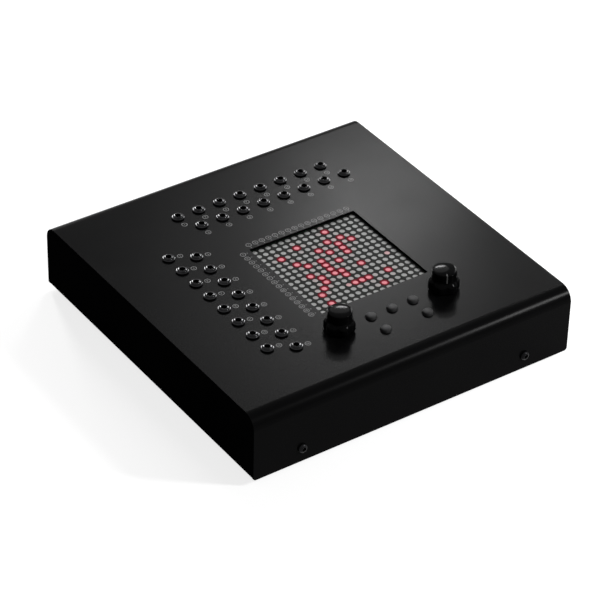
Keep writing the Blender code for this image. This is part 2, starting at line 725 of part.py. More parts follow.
def make_feet():
    """Four rubber feet near the corners of the base."""
    top_z = BASE_Z - SEAT_GAP
    radius = 0.5 * FOOT_DIAMETER
    profile = [
        (0.0, top_z),
        (radius, top_z),
        (radius, FOOT_EDGE),
        (radius - FOOT_EDGE, 0.0),
        (0.0, 0.0),
    ]
    mesh = turned_mesh("foot", profile)
    reach_x = 0.5 * CASE_WIDTH - FOOT_INSET
    reach_y = 0.5 * CASE_DEPTH - FOOT_INSET
    corners = {
        "front_left": (-1.0, -1.0),
        "front_right": (1.0, -1.0),
        "back_left": (-1.0, 1.0),
        "back_right": (1.0, 1.0),
    }
    for name, (side_x, side_y) in corners.items():
        spot = (side_x * reach_x, side_y * reach_y, 0.0)
        finish(place(f"foot_{name}", mesh, spot), "foot_rubber")


def make_screws():
    """Casing screws with a domed head and a hexagonal socket, two a wall."""
    radius = 0.5 * SCREW_HEAD_DIAMETER
    shank = 0.5 * SCREW_SHANK_DIAMETER
    dome = [(radius * across, SCREW_HEAD_HEIGHT * up) for across, up in SCREW_DOME_SHARES]
    profile = dome + [(shank, 0.0), (shank, -SCREW_SHANK_LENGTH), (0.0, -SCREW_SHANK_LENGTH)]
    key = disc_mesh(
        "key", SCREW_KEY_WIDTH * NUT_CORNER_SHARE, SCREW_HEAD_HEIGHT - SCREW_KEY_DEPTH,
        SCREW_HEAD_HEIGHT + CUT_OVERRUN, 6,
    )
    mesh = combined("screw", turned_mesh("screw_stock", profile), [("DIFFERENCE", key)])
    seat_y = 0.5 * CASE_DEPTH + SEAT_GAP
    names = ("front_left", "front_right", "back_left", "back_right")
    for name, (x, side) in zip(names, screw_places()):
        turn = (-side * QUARTER_TURN, 0.0, 0.0)
        finish(place(f"screw_{name}", mesh, (x, side * seat_y, SCREW_Z), turn), "screw_black")


def make_power_inlet():
    """Barrel power inlet through the back wall, held by a nut inside."""
    flange = 0.5 * INLET_FLANGE_DIAMETER
    body = 0.5 * INLET_BODY_DIAMETER
    bore = 0.5 * INLET_BORE_DIAMETER
    pin = 0.5 * INLET_PIN_DIAMETER
    seat = SEAT_GAP
    face = seat + INLET_FLANGE_HEIGHT
    profile = [
        (0.0, face - INLET_PIN_RECESS),
        (pin, face - INLET_PIN_RECESS),
        (pin, face - INLET_BORE_DEPTH),
        (bore, face - INLET_BORE_DEPTH),
        (bore, face),
        (flange, face),
        (flange, seat),
        (body, seat),
        (body, -SHEET - INLET_BODY_LENGTH),
        (0.0, -SHEET - INLET_BODY_LENGTH),
    ]
    nut_top = -SHEET - SEAT_GAP
    nut = disc_mesh("nut", INLET_NUT_WIDTH * NUT_CORNER_SHARE, nut_top - INLET_NUT_HEIGHT, nut_top, 6)
    ring = turned_mesh("inlet_stock", profile, HOLE_SIDES)
    mesh = combined("power_inlet", ring, [("UNION", hollow_nut(nut))])
    inlet = place("power_inlet", mesh, (INLET_X, 0.5 * CASE_DEPTH, INLET_Z), (-QUARTER_TURN, 0.0, 0.0))
    return finish(inlet, "inlet_plastic")


def hollow_nut(nut):
    """The inlet's nut with its inside cut away, so that the bore stays open."""
    inner = INLET_BODY_DIAMETER - 2.0 * JOIN_DEPTH
    low = -SHEET - SEAT_GAP - INLET_NUT_HEIGHT - CUT_OVERRUN
    plug = disc_mesh("plug", inner, low, CUT_OVERRUN)
    return combined("hollow_nut", nut, [("DIFFERENCE", plug)])


def make_power_lead():
    """Insulated lead from the inlet's back to the underside of the main board."""
    start_y = 0.5 * CASE_DEPTH - SHEET - INLET_BODY_LENGTH - SEAT_GAP
    end_y = BOARD_BACK_Y - LEAD_LANDING
    end_z = BOARD_BOTTOM_Z - SEAT_GAP
    level_z = INLET_Z
    turn_y = end_y + LEAD_TURN_RADIUS
    route = [(start_y, level_z)]
    for step in range(LEAD_STEPS + 1):
        angle = QUARTER_TURN * step / LEAD_STEPS
        y = turn_y - LEAD_TURN_RADIUS * math.sin(angle)
        z = end_z - (end_z - level_z) * math.cos(angle)
        route.append((y, z))
    curve = bpy.data.curves.new("power_lead_route", "CURVE")
    curve.dimensions = "3D"
    curve.bevel_depth = 0.5 * LEAD_DIAMETER
    curve.bevel_resolution = 2
    curve.use_fill_caps = True
    spline = curve.splines.new("POLY")
    spline.points.add(len(route) - 1)
    for point, (y, z) in zip(spline.points, route):
        point.co = (INLET_X, y, z, 1.0)
    guide = place("power_lead_route", curve, collection=CUTTERS)
    mesh = finished_mesh(guide, "power_lead")
    shape = bmesh.new()
    shape.from_mesh(mesh)
    bmesh.ops.remove_doubles(shape, verts=shape.verts[:], dist=MERGE_DISTANCE)
    bmesh.ops.recalc_face_normals(shape, faces=shape.faces[:])
    shape.to_mesh(mesh)
    shape.free()
    return finish(place("power_lead", mesh), "lead_sleeve")


def build():
    """Make every piece of the object."""
    make_top_cover()
    make_bottom_tray()
    make_main_board()
    make_display_modules()
    make_patch_sockets()
    make_encoders()
    make_buttons()
    make_feet()
    make_screws()
    make_power_inlet()
    make_power_lead()


build()
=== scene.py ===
# Desktop patch matrix: sixteen inputs, sixteen outputs, two knobs, five buttons and a lamp display.
# The looks that go over its solid model. Metres, +Z up, +Y towards the back wall.
import math

import bmesh
import bpy
from mathutils import Matrix, Vector


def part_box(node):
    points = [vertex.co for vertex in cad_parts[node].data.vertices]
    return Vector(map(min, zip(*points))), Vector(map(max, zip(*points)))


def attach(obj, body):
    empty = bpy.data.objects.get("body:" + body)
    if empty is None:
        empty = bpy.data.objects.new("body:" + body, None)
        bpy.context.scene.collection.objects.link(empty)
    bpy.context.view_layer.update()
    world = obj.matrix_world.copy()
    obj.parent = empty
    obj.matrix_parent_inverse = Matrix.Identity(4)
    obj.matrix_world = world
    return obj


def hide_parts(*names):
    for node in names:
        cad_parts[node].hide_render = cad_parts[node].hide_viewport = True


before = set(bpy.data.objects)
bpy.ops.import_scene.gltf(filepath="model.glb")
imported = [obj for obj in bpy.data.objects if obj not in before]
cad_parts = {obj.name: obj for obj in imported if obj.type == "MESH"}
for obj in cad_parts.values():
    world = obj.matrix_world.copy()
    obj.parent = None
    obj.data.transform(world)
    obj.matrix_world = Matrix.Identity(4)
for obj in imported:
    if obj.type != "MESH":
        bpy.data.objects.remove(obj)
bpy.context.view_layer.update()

MM = 0.001
MERGE = 0.002 * MM
FULL_TURN = 2.0 * math.pi
SHARP = math.radians(32.0)
NEARLY_FLAT = math.radians(1.0)
ROUND_STEPS = 48
EASE_STEPS = 2
HEX_SIDES = 6
HEX_CORNER = math.cos(math.pi / HEX_SIDES)
CORNERS = ("front_left", "front_right", "back_left", "back_right")

# Height of the panel, from the solid model
PANEL_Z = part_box("top_cover")[1].z

# Sheet metal
SHEET = 1.5 * MM
BEND_RADIUS = 9.0 * MM
BEND_STEPS = 20
WALL_CORNER = 2.0 * MM
WALL_CORNER_STEPS = 8
SHEET_EASE = 0.16 * MM
TRAY_EASE = 0.14 * MM
HOLE_GAP = 0.3 * MM
OVERRUN = 2.0 * MM
WALL_CUT = 3.0 * MM
SIDE_FACING = 0.9

# Radii of the holes in the cover
SOCKET_HOLE = 3.3 * MM
KNOB_HOLE = 3.8 * MM
BUTTON_HOLE = 3.5 * MM
SCREW_HOLE = 1.8 * MM
SCREW_STEPS = 24
INLET_HOLE = 5.8 * MM

# Side views below are rows in mm: outwards from a radius, and up from a height.

# Patch sockets
SOCKETS_IN_GROUP = 16
SOCKET_STEPS = 32
NUT_RADIUS = 4.0 * MM
NUT_HEIGHT = 0.95 * MM
NUT_TEETH = 26
NUT_TOOTH = 0.16 * MM
NUT_GAP = 0.05 * MM
NUT_CHAMFER = 0.2 * MM
NUT_FOOT = 0.3 * MM
NUT_MOUTH = ((0.0, -0.25), (0.06, -0.06), (0.12, 0.0))
NUT_DOME = ((-0.56, -0.06), (-0.34, -0.14), (-0.16, -0.23), (-0.05, -0.34), (0.0, -0.48))
NUT_TWIST = 37.0
COLLAR_RADIUS = 3.0 * MM
COLLAR_RISE = 2.1 * MM
COLLAR_STEPS = 40
COLLAR_FOOT = 0.4 * MM
COLLAR_CHAMFER = 0.2 * MM
COLLAR_MOUTH = ((0.0, -0.35), (0.05, -0.13), (0.13, -0.03), (0.22, 0.0))
COLLAR_DOME = ((-0.72, -0.07), (-0.44, -0.17), (-0.22, -0.28), (-0.09, -0.42), (-0.04, -0.58))
THREAD_START = 0.6 * MM
THREAD_PITCH = 0.5 * MM
THREAD_DEPTH = 0.18 * MM
BORE_RADIUS = 1.8 * MM
HOUSING_EASE = 0.25 * MM
HOUSING_FLOOR = 1.0 * MM
RAIL_SIDES = (1.2 * MM, 1.7 * MM)
RAIL_HALF = 0.5 * MM
RAIL_DEPTHS = (8.0 * MM, 1.2 * MM)
RAIL_EASE = 0.1 * MM

# Lamp display
LAMP_PITCH = 4.7625 * MM
LAMP_RADIUS = 1.75 * MM
LAMP_DROP = 0.1 * MM
LAMP_WELL = 0.6 * MM
LAMP_SHIFT = (0.05 * MM, 0.05 * MM)
LAMPS = 16
LAMPS_IN_MODULE = 8
DISPLAY_X = 0.5 * (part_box("display_module_1")[0].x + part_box("display_module_4")[1].x)
DISPLAY_Y = 0.5 * (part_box("display_module_1")[1].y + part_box("display_module_4")[0].y)
FACE_DROP = 0.03 * MM
MODULE_SEAM = 0.14 * MM
BLOCK_DEPTH = 7.8 * MM
PINS_IN_ROW = 8
PIN_PITCH = 2.54 * MM
PIN_HALF = 0.25 * MM
PIN_INSET = 4.0 * MM
PIN_HEAD = 7.6 * MM
LAMP_STEPS = 16
LAMP_GAP = 0.01 * MM
LAMP_FOOT = 0.05 * MM
LAMP_DOME = ((1.0, 0.06 * MM), (0.78, 0.02 * MM), (0.45, 0.0), (0.0, 0.0))

# Glow of a lamp: its middle, its fall towards the rim and the least there, then the painted halo round it
# (painted light of the lit lamp on the dark ground), as shares of the lamp's radius and of the glow
GLOW_MIDDLE = 1.3
GLOW_FALL = 0.6
GLOW_RIM = 0.7
DIM_LEVEL = 0.5
# Painted glow on an unlit lamp, for each lit neighbour
PAINTED_SPILL_LEVEL = 0.06
PAINTED_HALO_LEVELS = ((1.005, 1.0), (1.15, 0.8), (1.4, 0.5), (1.7, 0.24))
PAINTED_HALO_STEPS = 20
PAINTED_HALO_SHEET = 0.01 * MM
PAINTED_HALO_LIFT = 0.015 * MM

# Lamps that are on, as column from the left and row from the back
LIT = (
    (10, 1), (5, 2), (2, 3), (9, 3), (11, 3), (7, 4), (10, 4), (12, 4), (3, 5), (8, 5), (10, 5),
    (4, 6), (6, 6), (10, 6), (6, 7), (8, 7), (3, 8), (6, 8), (4, 9), (6, 9), (7, 9), (10, 9),
    (4, 10), (7, 10), (3, 11), (2, 12), (7, 12), (8, 12), (9, 12), (12, 12), (2, 14), (10, 14),
)
DIM = ((14, 9), (6, 12))

# Printed numbers
INK = 0.03 * MM
INK_LOW = PANEL_Z - 0.5 * INK
INK_HIGH = PANEL_Z + INK
RING_RADIUS = 1.85 * MM
RING_LINE = 0.4 * MM
RING_STEPS = 32
DIGIT_SIZE = 2.025 * MM
DIGIT_WIDTH = 2.3 * MM
DIGIT_WEIGHT = 0.05 * MM
DIGIT_LIFT = 0.25
TICK_RADIUS = 0.34 * MM
TICK_REACH = 3.0 * MM
TICK_STEPS = 16
INPUT_DISC = (7.5 * MM, -0.8 * MM)
OUTPUT_DISC = (-0.5 * MM, -8.1 * MM)
ROW_DISC_X = -30.3 * MM
COLUMN_DISC_Y = 28.7 * MM

# Knobs. The skirt's rows are height over the foot and the radii in the valleys and at the lobes, in
# mm, and so are the well's, with one radius.
KNOB_STEPS = 144
KNOB_LOBES = 6
LOBE_SHARPNESS = 0.7
KNOB_WELL = ((3.9, 3.3), (3.4, 6.3), (0.3, 6.3), (0.0, 6.6))
KNOB_SKIRT = (
    (0.0, 7.75, 8.7), (0.22, 8.0, 9.05), (0.65, 8.2, 9.35), (1.3, 8.3, 9.5), (2.6, 8.3, 9.5),
    (4.4, 8.26, 9.46), (5.2, 8.14, 9.25), (5.9, 7.92, 8.7), (6.5, 7.64, 8.0), (7.1, 7.46, 7.55),
)
KNOB_CROWN = (
    (7.4, -5.7), (7.36, -2.2), (7.32, -0.8), (7.2, -0.62), (6.92, -0.48), (6.4, -0.37), (5.5, -0.25),
    (4.0, -0.12), (2.3, -0.035), (1.1, -0.006),
)
KNOB_TURN = {"left": math.radians(16.0), "right": math.radians(34.0)}
POINTER_TURN = {"left": math.radians(106.0), "right": math.radians(-114.5)}
POINTER_WIDTH = 0.74 * MM
POINTER_REACH = 5.3 * MM
POINTER_LENGTH = 6.2 * MM
POINTER_PROUD = 0.03 * MM
POINTER_SUNK = 0.3 * MM

# Buttons
BUTTON_CAP = (
    (0.0, 0.0), (0.9, -0.006), (1.7, -0.025), (2.25, -0.07), (2.6, -0.16), (2.87, -0.31), (3.05, -0.51),
    (3.15, -0.78), (3.19, -1.1), (3.2, -1.4),
)
BUTTON_RADIUS = 3.2 * MM
FLANGE_RADIUS = 4.6 * MM
FLANGE_DEPTH = 1.0 * MM
STEM_RADIUS = 1.7 * MM
STEM_TIP = 1.5 * MM
STEM_CHAMFER = 0.2 * MM

# Screws, with a hexagonal key hole
SCREW_SIDE = (
    (0.0, 1.8), (1.55, 1.78), (1.75, 1.72), (2.2, 1.5), (2.6, 1.1), (2.88, 0.6), (2.98, 0.15), (2.95, 0.0),
    (1.5, 0.0), (1.5, -0.3), (1.35, -0.5), (1.5, -0.75), (1.35, -1.0), (1.5, -1.25), (1.35, -1.5),
    (1.5, -1.75), (1.35, -2.0), (1.5, -2.25), (1.5, -6.7), (1.2, -7.0), (0.0, -7.0),
)
SCREW_EASE = 0.06 * MM
KEY_RADIUS = 1.25 * MM
KEY_FLOOR = 0.7 * MM
KEY_TOP = 3.0 * MM

# Feet
FOOT_TREAD = ((-0.15, 0.9), (-0.4, 0.3), (-1.0, 0.0), (-2.4, 0.0), (-2.8, 0.35))
FOOT_SHOULDER = 0.2 * MM
FOOT_HOLLOW = 0.4 * MM

# Power inlet, from its face inwards. The thread's values are start, end and pitch.
INLET_DROP = 17.0 * MM
INLET_MOUTH = (
    (0.0, -11.0), (3.15, -11.0), (3.15, -0.4), (3.5, 0.0), (6.6, 0.0), (6.95, -0.3), (7.0, -0.8),
)
INLET_PIN = ((0.0, -1.0), (0.6, -1.1), (0.95, -1.5), (1.0, -2.0), (1.0, -11.1), (0.0, -11.1))
INLET_PIN_STEPS = 32
INLET_STEPS = 64
INLET_FLANGE = 7.0 * MM
INLET_RADIUS = 5.5 * MM
INLET_ROOT = 5.3 * MM
INLET_THREAD = (0.4 * MM, 8.0 * MM, 0.75 * MM)
INLET_CREST = 0.35 * MM
INLET_PLAIN = 9.0 * MM
INLET_TAIL = 5.0 * MM
INLET_CHAMFER = 0.5 * MM
INLET_NUT = 2.5 * MM
INLET_NUT_HOLE = 5.55 * MM
INLET_NUT_CUT = (5.0 * MM, 3.0 * MM)
INLET_NUT_EASE = 0.15 * MM

# Studio: light that bounces and what is seen, for the world and for the floor
WORLD_LEVELS = (0.25, 1.0)
FLOOR_LEVELS = (0.0, 0.78)
FLOOR_TONE = 0.34
FLOOR_HALF = 12.0

# Soft boxes: aim, direction, distance, shift across and up, size, watts and turn
PANEL_AIM = (0.0, 0.0, PANEL_Z)
FRONT_AIM = (0.0, -0.11, 0.045)
BEHIND = (0.467, 0.659, 0.590)
BEFORE = (0.467, -0.655, 0.593)
SOFT_BOXES = {
    "back_left": (PANEL_AIM, (0.13, 0.88, 0.454), 1.1, (0.0, 0.0), (0.12, 0.56), 6.4, -0.25),
    "back_right": (PANEL_AIM, (0.766, 0.455, 0.454), 1.1, (0.0, 0.0), (0.12, 0.56), 6.4, 0.25),
    "key": (PANEL_AIM, BEHIND, 1.1, (-0.065, -0.07), (0.174, 0.06), 2.3, 0.294),
    "key_glow": (PANEL_AIM, BEHIND, 1.1, (-0.016, 0.005), (0.352, 0.352), 1.2, 0.0),
    "front": (FRONT_AIM, BEFORE, 1.0, (0.17, -0.05), (0.11, 0.26), 10.0, -0.2),
}

# Camera, set from the photograph
CAMERA_PLACE = (-0.8102321, -1.1391475, 1.0366276)
CAMERA_RIGHT = (0.8244380998, -0.5655837900, 0.0204155849)
CAMERA_UP = (0.3201534746, 0.4958193022, 0.8072576864)
CAMERA_BACK = (-0.4666943028, -0.6589978726, 0.5898459389)
CAMERA_LENS = 172.419
CAMERA_SENSOR = 36.0


# Node groups

SURFACE_OUTPUTS = (
    ("Colour", "NodeSocketColor"), ("Roughness", "NodeSocketFloat"), ("Height", "NodeSocketFloat"),
)


def new_group(name, inputs, outputs):
    """A shader node group with named inputs and outputs."""
    tree = bpy.data.node_groups.new(name, "ShaderNodeTree")
    for label, kind, value in inputs:
        socket = tree.interface.new_socket(name=label, in_out="INPUT", socket_type=kind)
        if value:
            socket.default_value = value
    for label, kind in outputs:
        tree.interface.new_socket(name=label, in_out="OUTPUT", socket_type=kind)
    return tree, tree.nodes.new("NodeGroupInput"), tree.nodes.new("NodeGroupOutput")


def feed(tree, socket, item):
    """Set a socket to a number or a colour, or link it to another node's output."""
    if isinstance(item, float):
        socket.default_value = item
    elif isinstance(item, tuple):
        socket.default_value = (*item, 1.0)
    else:
        tree.links.new(item, socket)


def noise_node(tree, position, scale, detail=2.0, roughness=0.5):
    """A noise texture on given coordinates."""
    noise = tree.nodes.new("ShaderNodeTexNoise")
    tree.links.new(position, noise.inputs["Vector"])
    feed(tree, noise.inputs["Scale"], scale)
    noise.inputs["Detail"].default_value = detail
    noise.inputs["Roughness"].default_value = roughness
    return noise.outputs["Fac"]


def range_node(tree, value, low, high, to_low, to_high):
    """Map a value from one range to another, clamped."""
    node = tree.nodes.new("ShaderNodeMapRange")
    tree.links.new(value, node.inputs["Value"])
    for label, item in (("From Min", low), ("From Max", high), ("To Min", to_low), ("To Max", to_high)):
        feed(tree, node.inputs[label], item)
    return node.outputs["Result"]


def mix_node(tree, factor, first, second):
    """Mix two colours by a factor."""
    node = tree.nodes.new("ShaderNodeMix")
    node.data_type = "RGBA"
    tree.links.new(factor, node.inputs[0])
    feed(tree, node.inputs[6], first)
    feed(tree, node.inputs[7], second)
    return node.outputs[2]


def sum_node(tree, operation, *items):
    """One sum on two or three values."""
    node = tree.nodes.new("ShaderNodeMath")
    node.operation = operation
    for index, item in enumerate(items):
        feed(tree, node.inputs[index], item)
    return node.outputs[0]


def build_grain_group():
    """Fine coat grain with handling marks: colour, roughness and height."""
    inputs = [
        ("Position", "NodeSocketVector", None),
        ("Colour", "NodeSocketColor", (0.01, 0.01, 0.01, 1.0)),
        ("Pale Colour", "NodeSocketColor", (0.02, 0.02, 0.02, 1.0)),
        ("Grain Scale", "NodeSocketFloat", 2500.0),
        ("Mark Scale", "NodeSocketFloat", 35.0),
        ("Low Roughness", "NodeSocketFloat", 0.3),
        ("High Roughness", "NodeSocketFloat", 0.4),
    ]
    tree, given, result = new_group("coat_grain", inputs, SURFACE_OUTPUTS)
    position = given.outputs["Position"]
    grain = noise_node(tree, position, given.outputs["Grain Scale"], 3.0, 0.6)
    marks = noise_node(tree, position, given.outputs["Mark Scale"], 5.0, 0.55)
    mottle = sum_node(tree, "MULTIPLY", grain, marks)
    pale = range_node(tree, mottle, 0.16, 0.42, 0.0, 1.0)
    colour = mix_node(tree, pale, given.outputs["Colour"], given.outputs["Pale Colour"])
    blend = sum_node(tree, "MULTIPLY_ADD", marks, 0.75, sum_node(tree, "MULTIPLY", grain, 0.25))
    roughness = range_node(
        tree, blend, 0.36, 0.64, given.outputs["Low Roughness"], given.outputs["High Roughness"],
    )
    tree.links.new(colour, result.inputs["Colour"])
    tree.links.new(roughness, result.inputs["Roughness"])
    tree.links.new(grain, result.inputs["Height"])
    return tree


def build_dust_group():
    """Sparse specks of dust over a colour."""
    inputs = [
        ("Position", "NodeSocketVector", None),
        ("Colour", "NodeSocketColor", (0.01, 0.01, 0.01, 1.0)),
        ("Dust", "NodeSocketColor", (0.2, 0.2, 0.19, 1.0)),
        ("Speck Scale", "NodeSocketFloat", 260.0),
        ("Speck Size", "NodeSocketFloat", 0.03),
    ]
    tree, given, result = new_group("dust_specks", inputs, [("Colour", "NodeSocketColor")])
    cells = tree.nodes.new("ShaderNodeTexVoronoi")
    tree.links.new(given.outputs["Position"], cells.inputs["Vector"])
    tree.links.new(given.outputs["Speck Scale"], cells.inputs["Scale"])
    near = range_node(tree, cells.outputs["Distance"], 0.0, given.outputs["Speck Size"], 1.0, 0.0)
    drift = noise_node(tree, given.outputs["Position"], 60.0, 2.0)
    sparse = range_node(tree, drift, 0.52, 0.7, 0.0, 1.0)
    mask = sum_node(tree, "MULTIPLY", near, sparse)
    colour = mix_node(tree, mask, given.outputs["Colour"], given.outputs["Dust"])
    tree.links.new(colour, result.inputs["Colour"])
    return tree


def build_machined_group():
    """Turned or rolled metal: fine rings about Z, with tarnish in patches."""
    inputs = [
        ("Position", "NodeSocketVector", None),
        ("Colour", "NodeSocketColor", (0.2, 0.2, 0.2, 1.0)),
        ("Tarnish", "NodeSocketColor", (0.1, 0.1, 0.1, 1.0)),
        ("Low Roughness", "NodeSocketFloat", 0.2),
        ("High Roughness", "NodeSocketFloat", 0.35),
    ]
    tree, given, result = new_group("machined_metal", inputs, SURFACE_OUTPUTS)
    position = given.outputs["Position"]
    stretch = tree.nodes.new("ShaderNodeMapping")
    stretch.inputs["Scale"].default_value = (1.0, 1.0, 9.0)
    tree.links.new(position, stretch.inputs["Vector"])
    lines = noise_node(tree, stretch.outputs["Vector"], 900.0, 2.0)
    patches = noise_node(tree, position, 320.0, 4.0, 0.6)
    worn = range_node(tree, patches, 0.4, 0.66, 0.0, 1.0)
    colour = mix_node(tree, worn, given.outputs["Colour"], given.outputs["Tarnish"])
    roughness = range_node(
        tree, lines, 0.3, 0.7, given.outputs["Low Roughness"], given.outputs["High Roughness"],
    )
    tree.links.new(colour, result.inputs["Colour"])
    tree.links.new(roughness, result.inputs["Roughness"])
    tree.links.new(lines, result.inputs["Height"])
    return tree


GRAIN = build_grain_group()
DUST = build_dust_group()
MACHINED = build_machined_group()


# Finishes

def new_finish(name):
    """A material with an empty Principled shader and object coordinates."""
    finish = bpy.data.materials.new(name)
    finish.use_nodes = True
    tree = finish.node_tree
    shader = tree.nodes["Principled BSDF"]
    place = tree.nodes.new("ShaderNodeTexCoord").outputs["Object"]
    return finish, tree, shader, place


def place_group(tree, group, values):
    """Place a node group in a material with its own values and links."""
    node = tree.nodes.new("ShaderNodeGroup")
    node.node_tree = group
    for label, value in values.items():
        feed(tree, node.inputs[label], value)
    return node.outputs


def add_bump(tree, shader, height, depth):
    """Feed a height to the shader's normal."""
    bump = tree.nodes.new("ShaderNodeBump")
    bump.inputs["Strength"].default_value = 1.0
    bump.inputs["Distance"].default_value = depth
    tree.links.new(height, bump.inputs["Height"])
    tree.links.new(bump.outputs["Normal"], shader.inputs["Normal"])


def coated(name, colour, pale, roughness, specular, grain=2500.0, marks=35.0, depth=0.01 * MM, dust=None):
    """A paint, plastic or rubber with fine grain and handling marks."""
    finish, tree, shader, place = new_finish(name)
    grainy = place_group(tree, GRAIN, {
        "Position": place, "Colour": colour, "Pale Colour": pale, "Grain Scale": grain,
        "Mark Scale": marks, "Low Roughness": roughness[0], "High Roughness": roughness[1],
    })
    tone = grainy["Colour"]
    if dust:
        tone = place_group(tree, DUST, {"Position": place, "Colour": tone, "Dust": dust})["Colour"]
    tree.links.new(tone, shader.inputs["Base Color"])
    tree.links.new(grainy["Roughness"], shader.inputs["Roughness"])
    shader.inputs["Specular IOR Level"].default_value = specular
    add_bump(tree, shader, grainy["Height"], depth)
    return finish


def metal(name, colour, tarnish, roughness, depth=0.004 * MM):
    """A plated or bare metal with machining lines and tarnish."""
    finish, tree, shader, place = new_finish(name)
    machined = place_group(tree, MACHINED, {
        "Position": place, "Colour": colour, "Tarnish": tarnish, "Low Roughness": roughness[0],
        "High Roughness": roughness[1],
    })
    tree.links.new(machined["Colour"], shader.inputs["Base Color"])
    tree.links.new(machined["Roughness"], shader.inputs["Roughness"])
    shader.inputs["Metallic"].default_value = 1.0
    add_bump(tree, shader, machined["Height"], depth)
    return finish


def glowing(name, colour, pale, roughness, specular, stops, attribute):
    """A lamp face, or the painted halo of light round a lit lamp, that lights up where the piece's
    attribute says so.
    """
    finish = coated(name, colour, pale, roughness, specular, 1800.0, 240.0)
    tree = finish.node_tree
    shader = tree.nodes["Principled BSDF"]
    level = tree.nodes.new("ShaderNodeAttribute")
    level.attribute_name = attribute
    ramp = tree.nodes.new("ShaderNodeValToRGB")
    marks = ramp.color_ramp.elements
    while len(marks) < len(stops):
        marks.new(0.5)
    for mark, (place, tone) in zip(marks, stops):
        mark.position = place
        mark.color = (*tone, 1.0)
    tree.links.new(level.outputs["Fac"], ramp.inputs["Fac"])
    tree.links.new(ramp.outputs["Color"], shader.inputs["Emission Color"])
    shader.inputs["Emission Strength"].default_value = 1.0
    return finish


CASING_BLACK = coated(
    "casing_black_coat", (0.0013, 0.0013, 0.0014), (0.0019, 0.0019, 0.002), (0.225, 0.25), 0.018,
    2600.0, 24.0, 0.002 * MM, dust=(0.006, 0.006, 0.006),
)
TRAY_BLACK = coated(
    "tray_black_coat", (0.0018, 0.0018, 0.0019), (0.0026, 0.0026, 0.0028), (0.35, 0.45), 0.0,
    2600.0, 24.0, 0.004 * MM, dust=(0.006, 0.006, 0.006),
)
NUT_METAL = metal("nut_black_nickel", (0.023, 0.023, 0.024), (0.014, 0.014, 0.0145), (0.11, 0.16))
COLLAR_METAL = metal("collar_black_nickel", (0.023, 0.023, 0.024), (0.014, 0.014, 0.0145), (0.11, 0.16))
CONTACT_METAL = metal("contact_metal", (0.30, 0.29, 0.27), (0.2, 0.19, 0.17), (0.25, 0.4))
HOUSING_PLASTIC = coated(
    "socket_housing_plastic", (0.01, 0.01, 0.01), (0.018, 0.018, 0.018), (0.4, 0.55), 0.3,
)
LAMP_LENS = glowing(
    "lamp_lens", (0.185, 0.187, 0.184), (0.26, 0.262, 0.258), (0.4, 0.5), 0.1,
    ((0.0, (0.0, 0.0, 0.0)), (0.5, (0.21, 0.0, 0.012)), (1.0, (0.44, 0.004, 0.038))),
    "glow",
)
# Painted glow tint: the lit lamps' copy of the lens has a reddened base colour.
LAMP_LENS_LIT_PAINTED_TINT = glowing(
    "lamp_lens_lit_painted_tint", (0.185, 0.13, 0.134), (0.26, 0.183, 0.188), (0.4, 0.5), 0.1,
    ((0.0, (0.0, 0.0, 0.0)), (0.5, (0.21, 0.0, 0.012)), (1.0, (0.44, 0.002, 0.036))),
    "glow",
)
LAMP_GROUND = coated(
    "lamp_ground", (0.006, 0.0065, 0.006), (0.012, 0.013, 0.012), (0.4, 0.55), 0.02, 1500.0, 260.0,
)
# Painted halo: a glowing sheet with a reddish base that paints the lit lamps' light onto the dark ground.
PAINTED_LAMP_HALO = glowing(
    "painted_lamp_halo", (0.006, 0.002, 0.0022), (0.012, 0.004, 0.0045), (0.4, 0.55), 0.01,
    ((0.0, (0.0, 0.0, 0.0)), (0.5, (0.11, 0.001, 0.007)), (1.0, (0.26, 0.003, 0.02))),
    "painted_halo",
)
KNOB_PLASTIC = coated(
    "knob_gloss_black", (0.0012, 0.0012, 0.0013), (0.002, 0.002, 0.0022), (0.07, 0.1), 0.015,
    900.0, 160.0, 0.002 * MM,
)
MARK_INK = coated("pointer_ink", (0.05, 0.05, 0.05), (0.07, 0.07, 0.07), (0.4, 0.5), 0.1)
BUTTON_PLASTIC = coated(
    "button_black", (0.026, 0.026, 0.0265), (0.036, 0.036, 0.0365), (0.26, 0.32), 0.02, 1800.0, 200.0,
    0.002 * MM,
)
SCREW_METAL = metal("screw_black_oxide", (0.01, 0.01, 0.0106), (0.006, 0.006, 0.0064), (0.3, 0.45))
STEEL = metal("bright_steel", (0.5, 0.5, 0.51), (0.36, 0.35, 0.34), (0.25, 0.4))
RUBBER = coated(
    "foot_rubber_dark", (0.012, 0.012, 0.012), (0.03, 0.03, 0.03), (0.75, 0.9), 0.2, 1200.0, 120.0,
)
INLET_PLASTIC = coated("inlet_black_plastic", (0.01, 0.01, 0.01), (0.018, 0.018, 0.018), (0.35, 0.5), 0.25)
LEAD_SLEEVE = coated("lead_red_sleeve", (0.22, 0.012, 0.012), (0.3, 0.02, 0.02), (0.4, 0.5), 0.3)
PRINT_INK = coated("pale_grey_ink", (0.11, 0.11, 0.11), (0.15, 0.15, 0.15), (0.4, 0.5), 0.1, 2600.0, 300.0)


